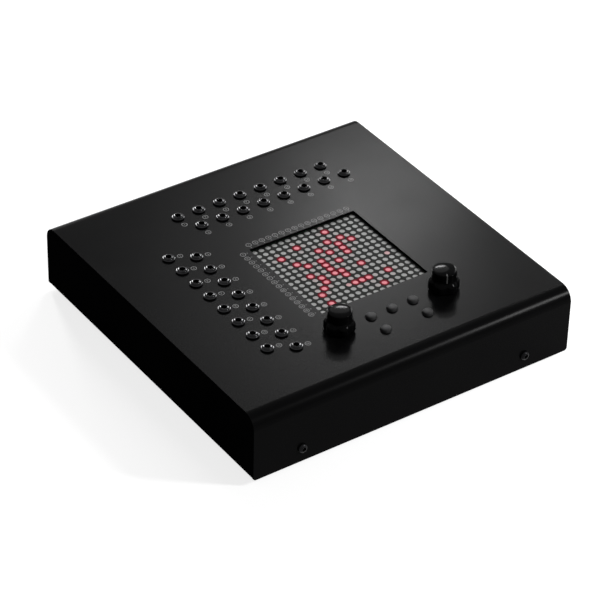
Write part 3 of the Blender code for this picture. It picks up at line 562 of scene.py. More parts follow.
def board_finish():
    """Solder mask over copper tracks that run square to the board's edges."""
    finish, tree, shader, place = new_finish("board_solder_mask")
    tracks = tree.nodes.new("ShaderNodeTexBrick")
    tracks.inputs["Scale"].default_value = 160.0
    tracks.inputs["Mortar Size"].default_value = 0.03
    tracks.inputs["Color1"].default_value = (0.012, 0.06, 0.025, 1.0)
    tracks.inputs["Color2"].default_value = (0.014, 0.075, 0.03, 1.0)
    tracks.inputs["Mortar"].default_value = (0.03, 0.16, 0.06, 1.0)
    tree.links.new(place, tracks.inputs["Vector"])
    tree.links.new(tracks.outputs["Color"], shader.inputs["Base Color"])
    wander = noise_node(tree, place, 90.0, 3.0)
    tree.links.new(range_node(tree, wander, 0.3, 0.7, 0.25, 0.45), shader.inputs["Roughness"])
    add_bump(tree, shader, tracks.outputs["Fac"], 0.02 * MM)
    return finish


BOARD_MASK = board_finish()


# Shape helpers

def shape_mesh(shape, name, smooth=True):
    """Turn a finished bmesh into a mesh with round faces shaded smooth."""
    mesh = bpy.data.meshes.new(name)
    shape.to_mesh(mesh)
    shape.free()
    if smooth:
        mesh.shade_smooth()
        mesh.set_sharp_from_angle(angle=SHARP)
    return mesh


def holder(name, mesh):
    """Put a mesh in the scene as an object at the origin."""
    thing = bpy.data.objects.new(name, mesh)
    bpy.context.scene.collection.objects.link(thing)
    return thing


def worked_out(thing, name):
    """Keep what an object's modifiers make of it, and remove the object."""
    bpy.context.view_layer.update()
    mesh = bpy.data.meshes.new_from_object(thing.evaluated_get(bpy.context.evaluated_depsgraph_get()))
    mesh.name = name
    bpy.data.objects.remove(thing, do_unlink=True)
    return mesh


def add_piece(name, mesh, finishes, body, stands_for=()):
    """Name a finished mesh as a piece, dress it by its faces' numbers and let it ride on a body."""
    numbers = [min(face.material_index, len(finishes) - 1) for face in mesh.polygons]
    mesh.materials.clear()
    for finish in finishes:
        mesh.materials.append(finish)
    mesh.polygons.foreach_set("material_index", numbers)
    piece = holder(name, mesh)
    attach(piece, body)
    if stands_for:
        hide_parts(*stands_for)


def join_into(total, part, finish=0):
    """Add one bmesh to another, with its finish number."""
    for face in part.faces:
        face.material_index = finish
    mesh = bpy.data.meshes.new("joining")
    part.to_mesh(mesh)
    part.free()
    total.from_mesh(mesh)
    bpy.data.meshes.remove(mesh)


def turned(outline, steps):
    """Spin a closed-off outline of radius and height about Z."""
    shape = bmesh.new()
    points = [shape.verts.new((radius, 0.0, height)) for radius, height in outline]
    lines = [shape.edges.new(pair) for pair in zip(points, points[1:])]
    bmesh.ops.spin(
        shape, geom=points + lines, cent=(0.0, 0.0, 0.0), axis=(0.0, 0.0, 1.0), dvec=(0.0, 0.0, 0.0),
        angle=FULL_TURN, steps=steps, use_merge=True, use_normal_flip=False, use_duplicate=False,
    )
    bmesh.ops.remove_doubles(shape, verts=shape.verts[:], dist=MERGE)
    bmesh.ops.recalc_face_normals(shape, faces=shape.faces[:])
    return shape


def ease_shape(shape, parts, size, steps, affect="EDGES"):
    """Round edges or corners of a bmesh."""
    bmesh.ops.bevel(
        shape, geom=parts, offset=size, segments=steps, profile=0.5, affect=affect, material=-1,
    )


def box_shape(low, high, ease=0.0):
    """A box between two corners with eased edges."""
    shape = bmesh.new()
    low = Vector(low)
    high = Vector(high)
    matrix = Matrix.Translation(0.5 * (low + high)) @ Matrix.Diagonal((*(high - low), 1.0))
    bmesh.ops.create_cube(shape, size=1.0, matrix=matrix)
    if ease:
        ease_shape(shape, shape.edges[:], ease, EASE_STEPS)
    return shape


def side_view(rows, radius, height):
    """Points of a side view from rows in mm, outwards from a radius and up from a height."""
    return [(radius + outwards * MM, height + up * MM) for outwards, up in rows]


def add_rod(shape, radius, low, high, spot, steps=ROUND_STEPS, lying=False):
    """Add a rod to a shape, upright or lying front to back."""
    centre = 0.5 * (low + high)
    matrix = Matrix.Translation((*spot, centre))
    if lying:
        matrix = Matrix.Translation((spot[0], centre, spot[1])) @ Matrix.Rotation(0.5 * math.pi, 4, "X")
    bmesh.ops.create_cone(
        shape, cap_ends=True, segments=steps, radius1=radius, radius2=radius, depth=high - low,
        matrix=matrix,
    )


def cut_and_ease(thing, cutter, name, ease):
    """Cut a shape out of an object, ease its sharp edges and keep the result."""
    tool = holder(name + "_cutter", cutter) if cutter else None
    if tool:
        boolean = thing.modifiers.new("cut", "BOOLEAN")
        boolean.operation = "DIFFERENCE"
        boolean.solver = "EXACT"
        boolean.object = tool
    if ease:
        bevel = thing.modifiers.new("ease", "BEVEL")
        bevel.width = ease
        bevel.segments = EASE_STEPS
        bevel.limit_method = "ANGLE"
        bevel.angle_limit = SHARP
        even = thing.modifiers.new("even", "WEIGHTED_NORMAL")
        even.keep_sharp = True
    mesh = worked_out(thing, name)
    if tool:
        bpy.data.objects.remove(tool, do_unlink=True)
    return mesh


def eased_copy(node, name, ease):
    """A copy of a solid with its points merged and its edges eased."""
    shape = bmesh.new()
    shape.from_mesh(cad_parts[node].data)
    bmesh.ops.remove_doubles(shape, verts=shape.verts[:], dist=MERGE)
    bmesh.ops.dissolve_limit(
        shape, angle_limit=NEARLY_FLAT, use_dissolve_boundaries=False, verts=shape.verts[:],
        edges=shape.edges[:], delimit=set(),
    )
    mesh = shape_mesh(shape, name)
    return cut_and_ease(holder(name, mesh), None, name, ease)


def middle(node):
    """Where a solid stands on the panel."""
    low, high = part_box(node)
    return (0.5 * (low.x + high.x), 0.5 * (low.y + high.y))


def wall_spot(node):
    """Where a solid sits in the front or back wall: sideways and up."""
    low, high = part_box(node)
    return (0.5 * (low.x + high.x), 0.5 * (low.z + high.z))


INPUTS = [middle(f"input_socket_{n:02d}") for n in range(1, SOCKETS_IN_GROUP + 1)]
OUTPUTS = [middle(f"output_socket_{n:02d}") for n in range(1, SOCKETS_IN_GROUP + 1)]
KNOBS = {side: middle(f"knob_{side}") for side in ("left", "right")}
BUTTONS = {n: middle(f"button_{n}") for n in range(1, 6)}


# Casing

def cover_cutter():
    """Every hole in the cover."""
    shape = bmesh.new()
    low_z = PANEL_Z - SHEET - OVERRUN
    high_z = PANEL_Z + OVERRUN
    holes = (
        (SOCKET_HOLE, INPUTS + OUTPUTS, SOCKET_STEPS), (KNOB_HOLE, KNOBS.values(), ROUND_STEPS),
        (BUTTON_HOLE, BUTTONS.values(), ROUND_STEPS),
    )
    for radius, spots, steps in holes:
        for spot in spots:
            add_rod(shape, radius, low_z, high_z, spot, steps)
    across = LAMPS * LAMP_PITCH
    window = Matrix.Translation((DISPLAY_X, DISPLAY_Y, 0.5 * (low_z + high_z)))
    window = window @ Matrix.Diagonal((across, across, high_z - low_z, 1.0))
    bmesh.ops.create_cube(shape, size=1.0, matrix=window)
    low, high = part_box("top_cover")
    for name in CORNERS:
        wall = low.y if "front" in name else high.y
        spot = wall_spot("screw_" + name)
        add_rod(shape, SCREW_HOLE, wall - WALL_CUT, wall + WALL_CUT, spot, SCREW_STEPS, lying=True)
    spot = (wall_spot("power_inlet")[0], PANEL_Z - INLET_DROP)
    add_rod(shape, INLET_HOLE, high.y - WALL_CUT, high.y + WALL_CUT, spot, lying=True)
    return shape_mesh(shape, "cover_cutter", smooth=False)


def make_cover():
    """Top panel with its front and back walls, bent from one sheet."""
    low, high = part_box("top_cover")
    shape = bmesh.new()
    side = ((high.y, low.z), (high.y, high.z), (low.y, high.z), (low.y, low.z))
    points = [shape.verts.new((low.x, y, z)) for y, z in side]
    lines = [shape.edges.new(pair) for pair in zip(points, points[1:])]
    swept = bmesh.ops.extrude_edge_only(shape, edges=lines)
    moved = [item for item in swept["geom"] if isinstance(item, bmesh.types.BMVert)]
    bmesh.ops.translate(shape, verts=moved, vec=(high.x - low.x, 0.0, 0.0))
    feet = [point for point in shape.verts if point.co.z < low.z + MERGE]
    ease_shape(shape, feet, WALL_CORNER, WALL_CORNER_STEPS, "VERTICES")
    bends = [
        edge for edge in shape.edges
        if all(point.co.z > high.z - MERGE for point in edge.verts)
        and abs(edge.verts[0].co.x - edge.verts[1].co.x) > BEND_RADIUS
    ]
    ease_shape(shape, bends, BEND_RADIUS, BEND_STEPS)
    bmesh.ops.recalc_face_normals(shape, faces=shape.faces[:])
    top = max(shape.faces, key=lambda face: face.calc_center_median().z)
    if top.normal.z < 0.0:
        bmesh.ops.reverse_faces(shape, faces=shape.faces[:])
    sheet = holder("cover_sheet", shape_mesh(shape, "cover_sheet"))
    wall = sheet.modifiers.new("sheet", "SOLIDIFY")
    wall.thickness = SHEET
    wall.offset = -1.0
    wall.use_even_offset = True
    mesh = cut_and_ease(sheet, cover_cutter(), "cover", SHEET_EASE)
    for face in mesh.polygons:
        face.material_index = 1 if abs(face.normal.x) > SIDE_FACING else 0
    add_piece("cover", mesh, [CASING_BLACK, TRAY_BLACK], "casing", ["top_cover"])


def make_tray():
    """Base with folded sides."""
    mesh = eased_copy("bottom_tray", "tray", TRAY_EASE)
    add_piece("tray", mesh, [TRAY_BLACK], "casing", ["bottom_tray"])


# Patch sockets

def nut_shape():
    """Round nut with a knurled rim and chamfered edges."""
    base = PANEL_Z + HOLE_GAP
    top = base + NUT_HEIGHT
    inner = COLLAR_RADIUS + NUT_GAP
    outline = [(inner, base + NUT_CHAMFER)]
    outline += side_view(NUT_MOUTH, inner, top) + side_view(NUT_DOME, NUT_RADIUS, top)
    outline += [
        (NUT_RADIUS, base + NUT_CHAMFER), (NUT_RADIUS - NUT_CHAMFER, base), (inner + NUT_FOOT, base),
        (inner, base + NUT_CHAMFER),
    ]
    steps = 2 * NUT_TEETH
    shape = turned(outline, steps)
    for point in shape.verts:
        if abs(point.co.xy.length - NUT_RADIUS) < MERGE:
            turn = math.atan2(point.co.y, point.co.x) / FULL_TURN * steps
            if round(turn) % 2:
                point.co.xy *= 1.0 - NUT_TOOTH / NUT_RADIUS
    bmesh.ops.recalc_face_normals(shape, faces=shape.faces[:])
    return shape


def collar_shape():
    """The collar as one wall: bore, mouth, thread and foot."""
    top = PANEL_Z + COLLAR_RISE
    foot = PANEL_Z - SHEET - COLLAR_FOOT
    outline = [(BORE_RADIUS, foot)]
    outline += side_view(COLLAR_MOUTH, BORE_RADIUS, top) + side_view(COLLAR_DOME, COLLAR_RADIUS, top)
    height = top - THREAD_START
    while height > PANEL_Z - SHEET:
        outline.append((COLLAR_RADIUS - THREAD_DEPTH, height - 0.24 * THREAD_PITCH))
        outline.append((COLLAR_RADIUS, height - 0.5 * THREAD_PITCH))
        height -= THREAD_PITCH
    outline += [(COLLAR_RADIUS - COLLAR_CHAMFER, foot), (BORE_RADIUS, foot)]
    return turned(outline, COLLAR_STEPS)


def housing_shape(node, spot):
    """Housing under the panel, with a bore through its top."""
    low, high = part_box(node)
    top = PANEL_Z - SHEET - HOLE_GAP
    near = (low.x - spot[0], low.y - spot[1], low.z)
    far = (high.x - spot[0], high.y - spot[1], top)
    thing = holder("housing_stock", shape_mesh(box_shape(near, far, HOUSING_EASE), "housing_stock"))
    cutter = bmesh.new()
    add_rod(cutter, BORE_RADIUS, low.z + HOUSING_FLOOR, top + OVERRUN, (0.0, 0.0), SOCKET_STEPS)
    return cut_and_ease(thing, shape_mesh(cutter, "bore", smooth=False), "housing", 0.0)


def make_sockets():
    """Housing with collar, and nut, for each patch socket."""
    nut = shape_mesh(nut_shape(), "nut_pattern")
    body = bmesh.new()
    body.from_mesh(housing_shape("input_socket_01", INPUTS[0]))
    join_into(body, collar_shape(), 1)
    rail_low = (RAIL_SIDES[0], -RAIL_HALF, PANEL_Z - RAIL_DEPTHS[0])
    rail_high = (RAIL_SIDES[1], RAIL_HALF, PANEL_Z - RAIL_DEPTHS[1])
    join_into(body, box_shape(rail_low, rail_high, RAIL_EASE), 2)
    body = shape_mesh(body, "socket_pattern")
    finishes = [HOUSING_PLASTIC, COLLAR_METAL, CONTACT_METAL]
    for kind, spots in (("input", INPUTS), ("output", OUTPUTS)):
        for number, (x, y) in enumerate(spots, start=1):
            node = f"{kind}_socket_{number:02d}"
            turn = Matrix.Rotation(math.radians(NUT_TWIST * number), 4, "Z")
            shift = Matrix.Translation((x, y, 0.0))
            own_nut = nut.copy()
            own_nut.transform(shift @ turn)
            add_piece(node + "_nut", own_nut, [NUT_METAL], "casing", [node])
            own_body = body.copy()
            own_body.transform(shift)
            add_piece(node + "_body", own_body, finishes, "casing", [node])


# Lamp display

def lamp_spot(column, row):
    """Centre of a lamp, counted from the back left corner."""
    half = 0.5 * (LAMPS - 1)
    x = DISPLAY_X + LAMP_SHIFT[0] + (column - half) * LAMP_PITCH
    return (x, DISPLAY_Y + LAMP_SHIFT[1] + (half - row) * LAMP_PITCH)


def lamp_shape():
    """A shallow domed lamp that fills its well, a few faces only, and glows most at its middle."""
    rim = LAMP_RADIUS - LAMP_GAP
    foot = -LAMP_WELL - LAMP_FOOT
    outline = [(0.0, foot), (rim, foot)]
    outline += [(rim * share, -LAMP_DROP - down) for share, down in LAMP_DOME]
    shape = turned(outline, LAMP_STEPS)
    level = shape.verts.layers.float.new("share")
    for point in shape.verts:
        fall = GLOW_FALL * point.co.xy.length / LAMP_RADIUS
        point[level] = min(1.0, max(GLOW_RIM, GLOW_MIDDLE - fall))
    return shape_mesh(shape, "lamp_pattern")


def lamp_wells(columns, rows, top):
    """Cutting shape for the round wells that a module's lamps sit in."""
    shape = bmesh.new()
    for column in columns:
        for row in rows:
            spot = lamp_spot(column, row)
            add_rod(shape, LAMP_RADIUS, top - LAMP_WELL, top + OVERRUN, spot, LAMP_STEPS)
    return shape_mesh(shape, "lamp_wells", smooth=False)


def halo_shape():
    """A thin ring of painted light round a lit lamp, brightest at its inner edge."""
    levels = [(LAMP_RADIUS * share, amount) for share, amount in PAINTED_HALO_LEVELS]
    outline = [(radius, 0.0) for radius, amount in levels]
    outline += [(radius, -PAINTED_HALO_SHEET) for radius, amount in reversed(levels)]
    shape = turned(outline + outline[:1], PAINTED_HALO_STEPS)
    level = shape.verts.layers.float.new("share")
    for point in shape.verts:
        near = min(levels, key=lambda item: abs(item[0] - point.co.xy.length))
        point[level] = near[1]
    return shape_mesh(shape, "painted_halo_pattern", smooth=False)


def place_glow(total, pattern, spot, height, level, layer, slot=0):
    """Add a lamp or its painted halo at a spot, scale its glow and give its faces a finish."""
    start, first_face = len(total.verts), len(total.faces)
    total.from_mesh(pattern)
    total.verts.ensure_lookup_table()
    total.faces.ensure_lookup_table()
    for face in total.faces[first_face:]:
        face.material_index = slot
    share = total.verts.layers.float["share"]
    glow = total.verts.layers.float[layer]
    for point in total.verts[start:]:
        point.co += Vector((*spot, height))
        point[glow] = point[share] * level


def lamp_level(column, row):
    """How strongly a lamp glows: lit, dim, given a painted glow for its lit neighbours, or dark."""
    if (column, row) in LIT:
        return 1.0
    if (column, row) in DIM:
        return DIM_LEVEL
    near = ((column - 1, row), (column + 1, row), (column, row - 1), (column, row + 1))
    # Painted light: an unlit lamp glows a little for each lit neighbour.
    return PAINTED_SPILL_LEVEL * sum(spot in LIT for spot in near)


def block_mesh(node, columns, rows, face_z):
    """A module's block with its lamp wells and two rows of pins."""
    low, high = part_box(node)
    near = (low.x - MODULE_SEAM, low.y - MODULE_SEAM, face_z - BLOCK_DEPTH)
    far = (high.x + MODULE_SEAM, high.y + MODULE_SEAM, face_z)
    stock = holder(node + "_stock", shape_mesh(box_shape(near, far), node + "_stock", smooth=False))
    total = bmesh.new()
    total.from_mesh(cut_and_ease(stock, lamp_wells(columns, rows, face_z), node + "_block", 0.0))
    middle_x, middle_y = middle(node)
    for side in (-1.0, 1.0):
        y = middle_y + side * (0.5 * (high.y - low.y) - PIN_INSET)
        for pin in range(PINS_IN_ROW):
            x = middle_x + (pin - 0.5 * (PINS_IN_ROW - 1)) * PIN_PITCH
            pin_low = (x - PIN_HALF, y - PIN_HALF, low.z)
            join_into(total, box_shape(pin_low, (x + PIN_HALF, y + PIN_HALF, face_z - PIN_HEAD)), 1)
    return shape_mesh(total, node + "_block")


def make_display():
    """Four lamp modules: block, lamps and the painted halo of light round the lit ones."""
    lamp = lamp_shape()
    painted_halo = halo_shape()
    for index in range(1, 5):
        node = f"display_module_{index}"
        face_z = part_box(node)[1].z - FACE_DROP
        left = 0 if index in (1, 3) else LAMPS_IN_MODULE
        back = 0 if index in (1, 2) else LAMPS_IN_MODULE
        columns = range(left, left + LAMPS_IN_MODULE)
        rows = range(back, back + LAMPS_IN_MODULE)
        block = block_mesh(node, columns, rows, face_z)
        add_piece(node + "_block", block, [LAMP_GROUND, CONTACT_METAL], "casing", [node])
        lamps = bmesh.new()
        rings = bmesh.new()
        for mesh, layer in ((lamps, "glow"), (rings, "painted_halo")):
            mesh.verts.layers.float.new("share")
            mesh.verts.layers.float.new(layer)
        for column in columns:
            for row in rows:
                spot = lamp_spot(column, row)
                lit = (column, row) in LIT
                place_glow(lamps, lamp, spot, face_z, lamp_level(column, row), "glow", int(lit))
                if lit:
                    # Painted halo of light on the ground round a lit lamp.
                    place_glow(rings, painted_halo, spot, face_z + PAINTED_HALO_LIFT, 1.0, "painted_halo")
        lenses = shape_mesh(lamps, node + "_lamps")
        add_piece(node + "_lamps", lenses, [LAMP_LENS, LAMP_LENS_LIT_PAINTED_TINT], "casing", [node])
        # The painted halos of one module as one piece.
        glow = shape_mesh(rings, node + "_glow", smooth=False)
        add_piece(node + "_glow", glow, [PAINTED_LAMP_HALO], "casing", [node])


# Printed numbers

def number_meshes():
    """The numbers 1 to 16 as thin meshes, centred on the origin."""
    result = {}
    for number in range(1, LAMPS + 1):
        text = bpy.data.curves.new("number", "FONT")
        text.body = str(number)
        text.size = DIGIT_SIZE
        text.align_x = "CENTER"
        text.align_y = "CENTER"
        text.extrude = 0.5 * INK
        text.offset = DIGIT_WEIGHT
        mesh = worked_out(holder("number", text), "number")
        across = [point.co.x for point in mesh.vertices]
        upright = [point.co.y for point in mesh.vertices]
        narrow = min(1.0, DIGIT_WIDTH / (max(across) - min(across)))
        centre = (-0.5 * (min(across) + max(across)), -0.5 * (min(upright) + max(upright)), 0.0)
        mesh.transform(Matrix.Diagonal((narrow, 1.0, 1.0, 1.0)) @ Matrix.Translation(centre))
        result[number] = mesh
    return result


def ring_shape(spot):
    """A thin flat printed ring."""
    inner = RING_RADIUS - RING_LINE
    outline = [(inner, INK_LOW), (inner, INK_HIGH), (RING_RADIUS, INK_HIGH), (RING_RADIUS, INK_LOW)]
    shape = turned(outline + outline[:1], RING_STEPS)
    bmesh.ops.translate(shape, verts=shape.verts[:], vec=(*spot, 0.0))
    return shape


def make_numbers():
    """A thin ring with its number for each socket, row and column, and a tick for each lamp line."""
    digits = number_meshes()
    half = 0.5 * (LAMPS - 1)
    groups = {
        "input_numbers": [(x + INPUT_DISC[0], y + INPUT_DISC[1]) for x, y in INPUTS],
        "output_numbers": [(x + OUTPUT_DISC[0], y + OUTPUT_DISC[1]) for x, y in OUTPUTS],
        "row_numbers": [(ROW_DISC_X, DISPLAY_Y + (half - n) * LAMP_PITCH) for n in range(LAMPS)],
        "column_numbers": [(DISPLAY_X + (n - half) * LAMP_PITCH, COLUMN_DISC_Y) for n in range(LAMPS)],
    }
    for name, spots in groups.items():
        rings = bmesh.new()
        marks = bmesh.new()
        for number, (x, y) in enumerate(spots, start=1):
            join_into(rings, ring_shape((x, y)))
            copy = digits[number].copy()
            copy.transform(Matrix.Translation((x, y, PANEL_Z + DIGIT_LIFT * INK)))
            marks.from_mesh(copy)
            bpy.data.meshes.remove(copy)
            if name == "row_numbers":
                add_rod(rings, TICK_RADIUS, INK_LOW, INK_HIGH, (x + TICK_REACH, y), TICK_STEPS)
            if name == "column_numbers":
                add_rod(rings, TICK_RADIUS, INK_LOW, INK_HIGH, (x, y - TICK_REACH), TICK_STEPS)
        bmesh.ops.remove_doubles(marks, verts=marks.verts[:], dist=0.2 * MERGE)
        add_piece(name + "_rings", shape_mesh(rings, name + "_rings", smooth=False), [PRINT_INK], "casing")
        add_piece(name, shape_mesh(marks, name, smooth=False), [PRINT_INK], "casing")


# Knobs and buttons

def knob_levels(bottom, top):
    """Side view of the whole knob: height, radius in the valleys, radius at the lobes."""
    well = [(bottom + rise * MM, radius * MM, radius * MM) for rise, radius in KNOB_WELL]
    skirt = [(bottom + rise * MM, valley * MM, tip * MM) for rise, valley, tip in KNOB_SKIRT]
    return well + skirt + [(height, radius, radius) for radius, height in side_view(KNOB_CROWN, 0.0, top)]


def lobe(angle):
    """How far a direction lies out towards the tip of a lobe, from 0 to 1."""
    return (0.5 + 0.5 * math.cos(KNOB_LOBES * angle)) ** LOBE_SHARPNESS


def knob_shape(bottom, top):
    """Knob lofted from its hollow underside, over the skirt, up to the crown."""
    shape = bmesh.new()
    points = bmesh.ops.create_circle(shape, cap_ends=False, segments=KNOB_STEPS, radius=1.0)["verts"]
    edges = shape.edges[:]
    for row, (height, valley, tip) in enumerate(knob_levels(bottom, top)):
        if row:
            grown = bmesh.ops.extrude_edge_only(shape, edges=edges)["geom"]
            points = {item for item in grown if isinstance(item, bmesh.types.BMVert)}
            edges = [
                item for item in grown
                if isinstance(item, bmesh.types.BMEdge) and all(point in points for point in item.verts)
            ]
        for point in points:
            angle = math.atan2(point.co.y, point.co.x)
            radius = valley + (tip - valley) * lobe(angle)
            point.co = (radius * math.cos(angle), radius * math.sin(angle), height)
        if not row:
            bmesh.ops.contextual_create(shape, geom=edges)
    bmesh.ops.contextual_create(shape, geom=edges)
    caps = [face for face in shape.faces if len(face.verts) > 4]
    bmesh.ops.poke(shape, faces=caps)
    bmesh.ops.recalc_face_normals(shape, faces=shape.faces[:])
    return shape


def pointer_shape(top):
    """A raised line that runs from the crown over its edge and down the waist, along X."""
    path = [point for point in side_view(KNOB_CROWN, 0.0, top) if point[0] > POINTER_REACH]
    path[0] = (path[0][0], max(path[0][1], top - POINTER_LENGTH))
    ring = [(radius + POINTER_PROUD, height + POINTER_PROUD) for radius, height in path]
    ring += [(radius - POINTER_SUNK, height - POINTER_SUNK) for radius, height in reversed(path)]
    shape = bmesh.new()
    side = shape.faces.new([shape.verts.new((x, -0.5 * POINTER_WIDTH, z)) for x, z in ring])
    swept = bmesh.ops.extrude_face_region(shape, geom=[side])["geom"]
    moved = [item for item in swept if isinstance(item, bmesh.types.BMVert)]
    bmesh.ops.translate(shape, verts=moved, vec=(0.0, POINTER_WIDTH, 0.0))
    bmesh.ops.recalc_face_normals(shape, faces=shape.faces[:])
    return shape


def make_knobs():
    """Glossy lobed knobs, each with a pointer line over its edge and down its waist."""
    for side, (x, y) in KNOBS.items():
        node = f"knob_{side}"
        body = f"{side}_control"
        low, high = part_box(node)
        place = Matrix.Translation((x, y, 0.0))
        mesh = shape_mesh(knob_shape(low.z, high.z), node + "_body")
        mesh.transform(place @ Matrix.Rotation(KNOB_TURN[side], 4, "Z"))
        add_piece(node + "_body", mesh, [KNOB_PLASTIC], body, [node])
        mesh = shape_mesh(pointer_shape(high.z), node + "_pointer")
        mesh.transform(place @ Matrix.Rotation(POINTER_TURN[side], 4, "Z"))
        add_piece(node + "_pointer", mesh, [MARK_INK], body, [node])


def make_buttons():
    """Button caps with softened tops, a flange and a stem."""
    for number, (x, y) in BUTTONS.items():
        node = f"button_{number}"
        low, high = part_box(node)
        under = PANEL_Z - SHEET - HOLE_GAP
        outline = side_view(BUTTON_CAP, 0.0, high.z)
        outline += [
            (BUTTON_RADIUS, under), (FLANGE_RADIUS, under), (FLANGE_RADIUS, under - FLANGE_DEPTH),
            (STEM_RADIUS, under - FLANGE_DEPTH), (STEM_RADIUS, low.z + STEM_CHAMFER), (STEM_TIP, low.z),
            (0.0, low.z),
        ]
        mesh = shape_mesh(turned(outline, ROUND_STEPS), node + "_cap")
        mesh.transform(Matrix.Translation((x, y, 0.0)))
        add_piece(node + "_cap", mesh, [BUTTON_PLASTIC], node, [node])


# Screws, feet and power inlet

def make_screws():
    """Domed screws with a hexagonal key hole."""
    shape = turned(side_view(SCREW_SIDE, 0.0, 0.0), ROUND_STEPS)
    stock = holder("screw_stock", shape_mesh(shape, "screw_stock"))
    key = bmesh.new()
    add_rod(key, KEY_RADIUS / HEX_CORNER, KEY_FLOOR, KEY_TOP, (0.0, 0.0), HEX_SIDES)
    screw = cut_and_ease(stock, shape_mesh(key, "key", smooth=False), "screw", SCREW_EASE)
    low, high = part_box("top_cover")
    for name in CORNERS:
        node = "screw_" + name
        side, wall = (-1.0, low.y) if "front" in name else (1.0, high.y)
        x, z = wall_spot(node)
        mesh = screw.copy()
        place = Matrix.Translation((x, wall + side * HOLE_GAP, z))
        mesh.transform(place @ Matrix.Rotation(-side * 0.5 * math.pi, 4, "X"))
        add_piece(node + "_body", mesh, [SCREW_METAL], "casing", [node])


def make_feet():
    """Rubber feet with a soft edge and a hollow in the tread."""
    for name in CORNERS:
        node = "foot_" + name
        low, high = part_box(node)
        radius = 0.5 * (high.x - low.x)
        outline = [(0.0, high.z), (radius - FOOT_SHOULDER, high.z), (radius, high.z - FOOT_SHOULDER)]
        outline += side_view(FOOT_TREAD, radius, 0.0) + [(0.0, FOOT_HOLLOW)]
        mesh = shape_mesh(turned(outline, ROUND_STEPS), node + "_pad")
        mesh.transform(Matrix.Translation((*middle(node), 0.0)))
        add_piece(node + "_pad", mesh, [RUBBER], "casing", [node])


def inlet_shape(face, back):
    """The inlet's face, flange and threaded body, along Z with the wall at zero."""
    outline = side_view(INLET_MOUTH, 0.0, face)
    outline += [(INLET_FLANGE, HOLE_GAP), (INLET_RADIUS, HOLE_GAP), (INLET_RADIUS, -SHEET)]
    start, end, pitch = INLET_THREAD
    depth = -SHEET - start
    while depth > -end:
        outline += [(INLET_ROOT, depth), (INLET_RADIUS, depth - INLET_CREST)]
        depth -= pitch
    outline += [
        (INLET_RADIUS, -INLET_PLAIN), (INLET_RADIUS, back + INLET_CHAMFER), (INLET_TAIL, back), (0.0, back),
    ]
    return turned(outline, INLET_STEPS)


def inlet_nut_mesh():
    """The hexagonal nut behind the wall."""
    nut = bmesh.new()
    top = -SHEET - HOLE_GAP
    add_rod(nut, INLET_FLANGE / HEX_CORNER, top - INLET_NUT, top, (0.0, 0.0), HEX_SIDES)
    stock = holder("nut_stock", shape_mesh(nut, "nut_stock", smooth=False))
    hole = bmesh.new()
    add_rod(hole, INLET_NUT_HOLE, top - INLET_NUT_CUT[0], top + INLET_NUT_CUT[1], (0.0, 0.0))
    return cut_and_ease(stock, shape_mesh(hole, "nut_hole", smooth=False), "inlet_nut", INLET_NUT_EASE)


def make_inlet():
    """Barrel power inlet: flange and threaded body, centre pin and nut."""
    low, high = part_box("power_inlet")
    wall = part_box("top_cover")[1].y
    face = high.y - wall
    total = bmesh.new()
    join_into(total, inlet_shape(face, low.y - wall))
    join_into(total, turned(side_view(INLET_PIN, 0.0, face), INLET_PIN_STEPS), 1)
    nut = bmesh.new()
    nut.from_mesh(inlet_nut_mesh())
    join_into(total, nut, 1)
    mesh = shape_mesh(total, "power_inlet_body")
    spot = (wall_spot("power_inlet")[0], wall, PANEL_Z - INLET_DROP)
    mesh.transform(Matrix.Translation(spot) @ Matrix.Rotation(-0.5 * math.pi, 4, "X"))
    add_piece(
        "power_inlet_body", mesh, [INLET_PLASTIC, STEEL], "casing", ["power_inlet"],
    )


def dress_hidden():
    """Finishes for the solids that stay as they are."""
    finishes = {
        "main_board": BOARD_MASK, "encoder_left": STEEL, "encoder_right": STEEL,
        "shaft_left": STEEL, "shaft_right": STEEL, "power_lead": LEAD_SLEEVE,
    }
    for node, finish in finishes.items():
        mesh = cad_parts[node].data
        if not len(mesh.materials):
            mesh.materials.append(finish)
        for index in range(len(mesh.materials)):
            mesh.materials[index] = finish


# Studio

def studio_mix(tree, levels):
    """One strength for light that bounces, another for what is seen directly, in gloss or through."""
    path = tree.nodes.new("ShaderNodeLightPath")
    seen = sum_node(tree, "MAXIMUM", path.outputs["Is Camera Ray"], path.outputs["Is Glossy Ray"])
    seen = sum_node(tree, "MAXIMUM", seen, path.outputs["Is Transmission Ray"])
    return range_node(tree, seen, 0.0, 1.0, *levels)


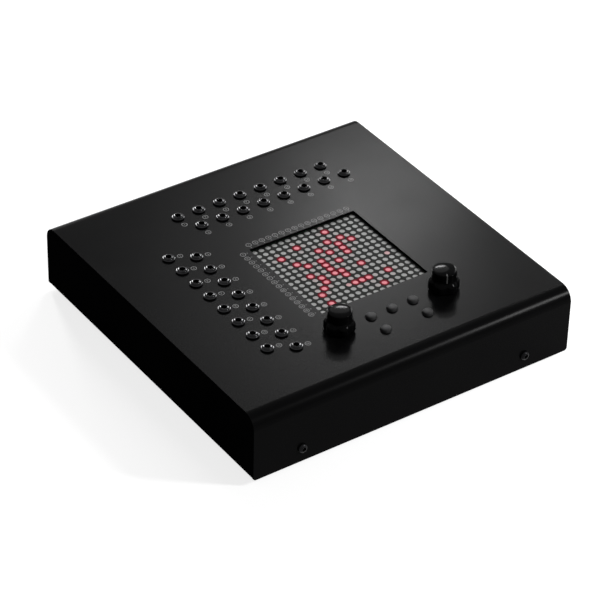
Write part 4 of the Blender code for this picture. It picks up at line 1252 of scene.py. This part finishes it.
def make_floor():
    """Plain pale floor that shows white and keeps the shadow."""
    shape = bmesh.new()
    bmesh.ops.create_grid(shape, x_segments=1, y_segments=1, size=FLOOR_HALF)
    mesh = shape_mesh(shape, "floor", smooth=False)
    finish = bpy.data.materials.new("floor_white")
    finish.use_nodes = True
    tree = finish.node_tree
    tree.nodes.remove(tree.nodes["Principled BSDF"])
    matt = tree.nodes.new("ShaderNodeBsdfDiffuse")
    matt.inputs["Color"].default_value = (FLOOR_TONE, FLOOR_TONE, FLOOR_TONE, 1.0)
    lift = tree.nodes.new("ShaderNodeEmission")
    tree.links.new(studio_mix(tree, FLOOR_LEVELS), lift.inputs["Strength"])
    both = tree.nodes.new("ShaderNodeAddShader")
    tree.links.new(matt.outputs[0], both.inputs[0])
    tree.links.new(lift.outputs[0], both.inputs[1])
    tree.links.new(both.outputs[0], tree.nodes["Material Output"].inputs["Surface"])
    mesh.materials.append(finish)
    holder("floor", mesh)


def add_soft_light(name, target, direction, distance, shift, size, energy, spin):
    """A soft box that faces along a direction, shifted across and up from a line to a point."""
    light = bpy.data.lights.new(name, "AREA")
    light.shape = "ELLIPSE"
    light.size, light.size_y = size
    light.energy = energy
    lamp = holder(name, light)
    way = Vector(direction).normalized()
    turn = way.to_track_quat("Z", "Y")
    lamp.location = Vector(target) + way * distance + turn @ Vector((*shift, 0.0))
    lamp.rotation_mode = "QUATERNION"
    lamp.rotation_quaternion = turn @ Matrix.Rotation(spin, 3, "Z").to_quaternion()


def make_studio():
    """White surroundings and the soft boxes: three behind the object, a glow and one at the front."""
    world = bpy.data.worlds.new("studio")
    bpy.context.scene.world = world
    world.use_nodes = True
    tree = world.node_tree
    shade = tree.nodes["Background"]
    shade.inputs["Color"].default_value = (1.0, 1.0, 1.0, 1.0)
    tree.links.new(studio_mix(tree, WORLD_LEVELS), shade.inputs["Strength"])
    for name, values in SOFT_BOXES.items():
        add_soft_light(name, *values)


def make_camera():
    """The camera at the photograph's place."""
    camera = bpy.data.cameras.new("camera")
    camera.lens = CAMERA_LENS
    camera.sensor_width = CAMERA_SENSOR
    view = holder("camera", camera)
    columns = [Vector(v) for v in (CAMERA_RIGHT, CAMERA_UP, CAMERA_BACK)]
    turn = Matrix(columns).transposed().to_4x4()
    view.matrix_world = Matrix.Translation(CAMERA_PLACE) @ turn
    bpy.context.scene.camera = view


def build():
    """Make the studio and every piece of the object."""
    bpy.context.scene.view_settings.view_transform = "Standard"
    make_camera()
    make_studio()
    make_floor()
    make_cover()
    make_tray()
    make_sockets()
    make_display()
    make_numbers()
    make_knobs()
    make_buttons()
    make_screws()
    make_feet()
    make_inlet()
    dress_hidden()


build()
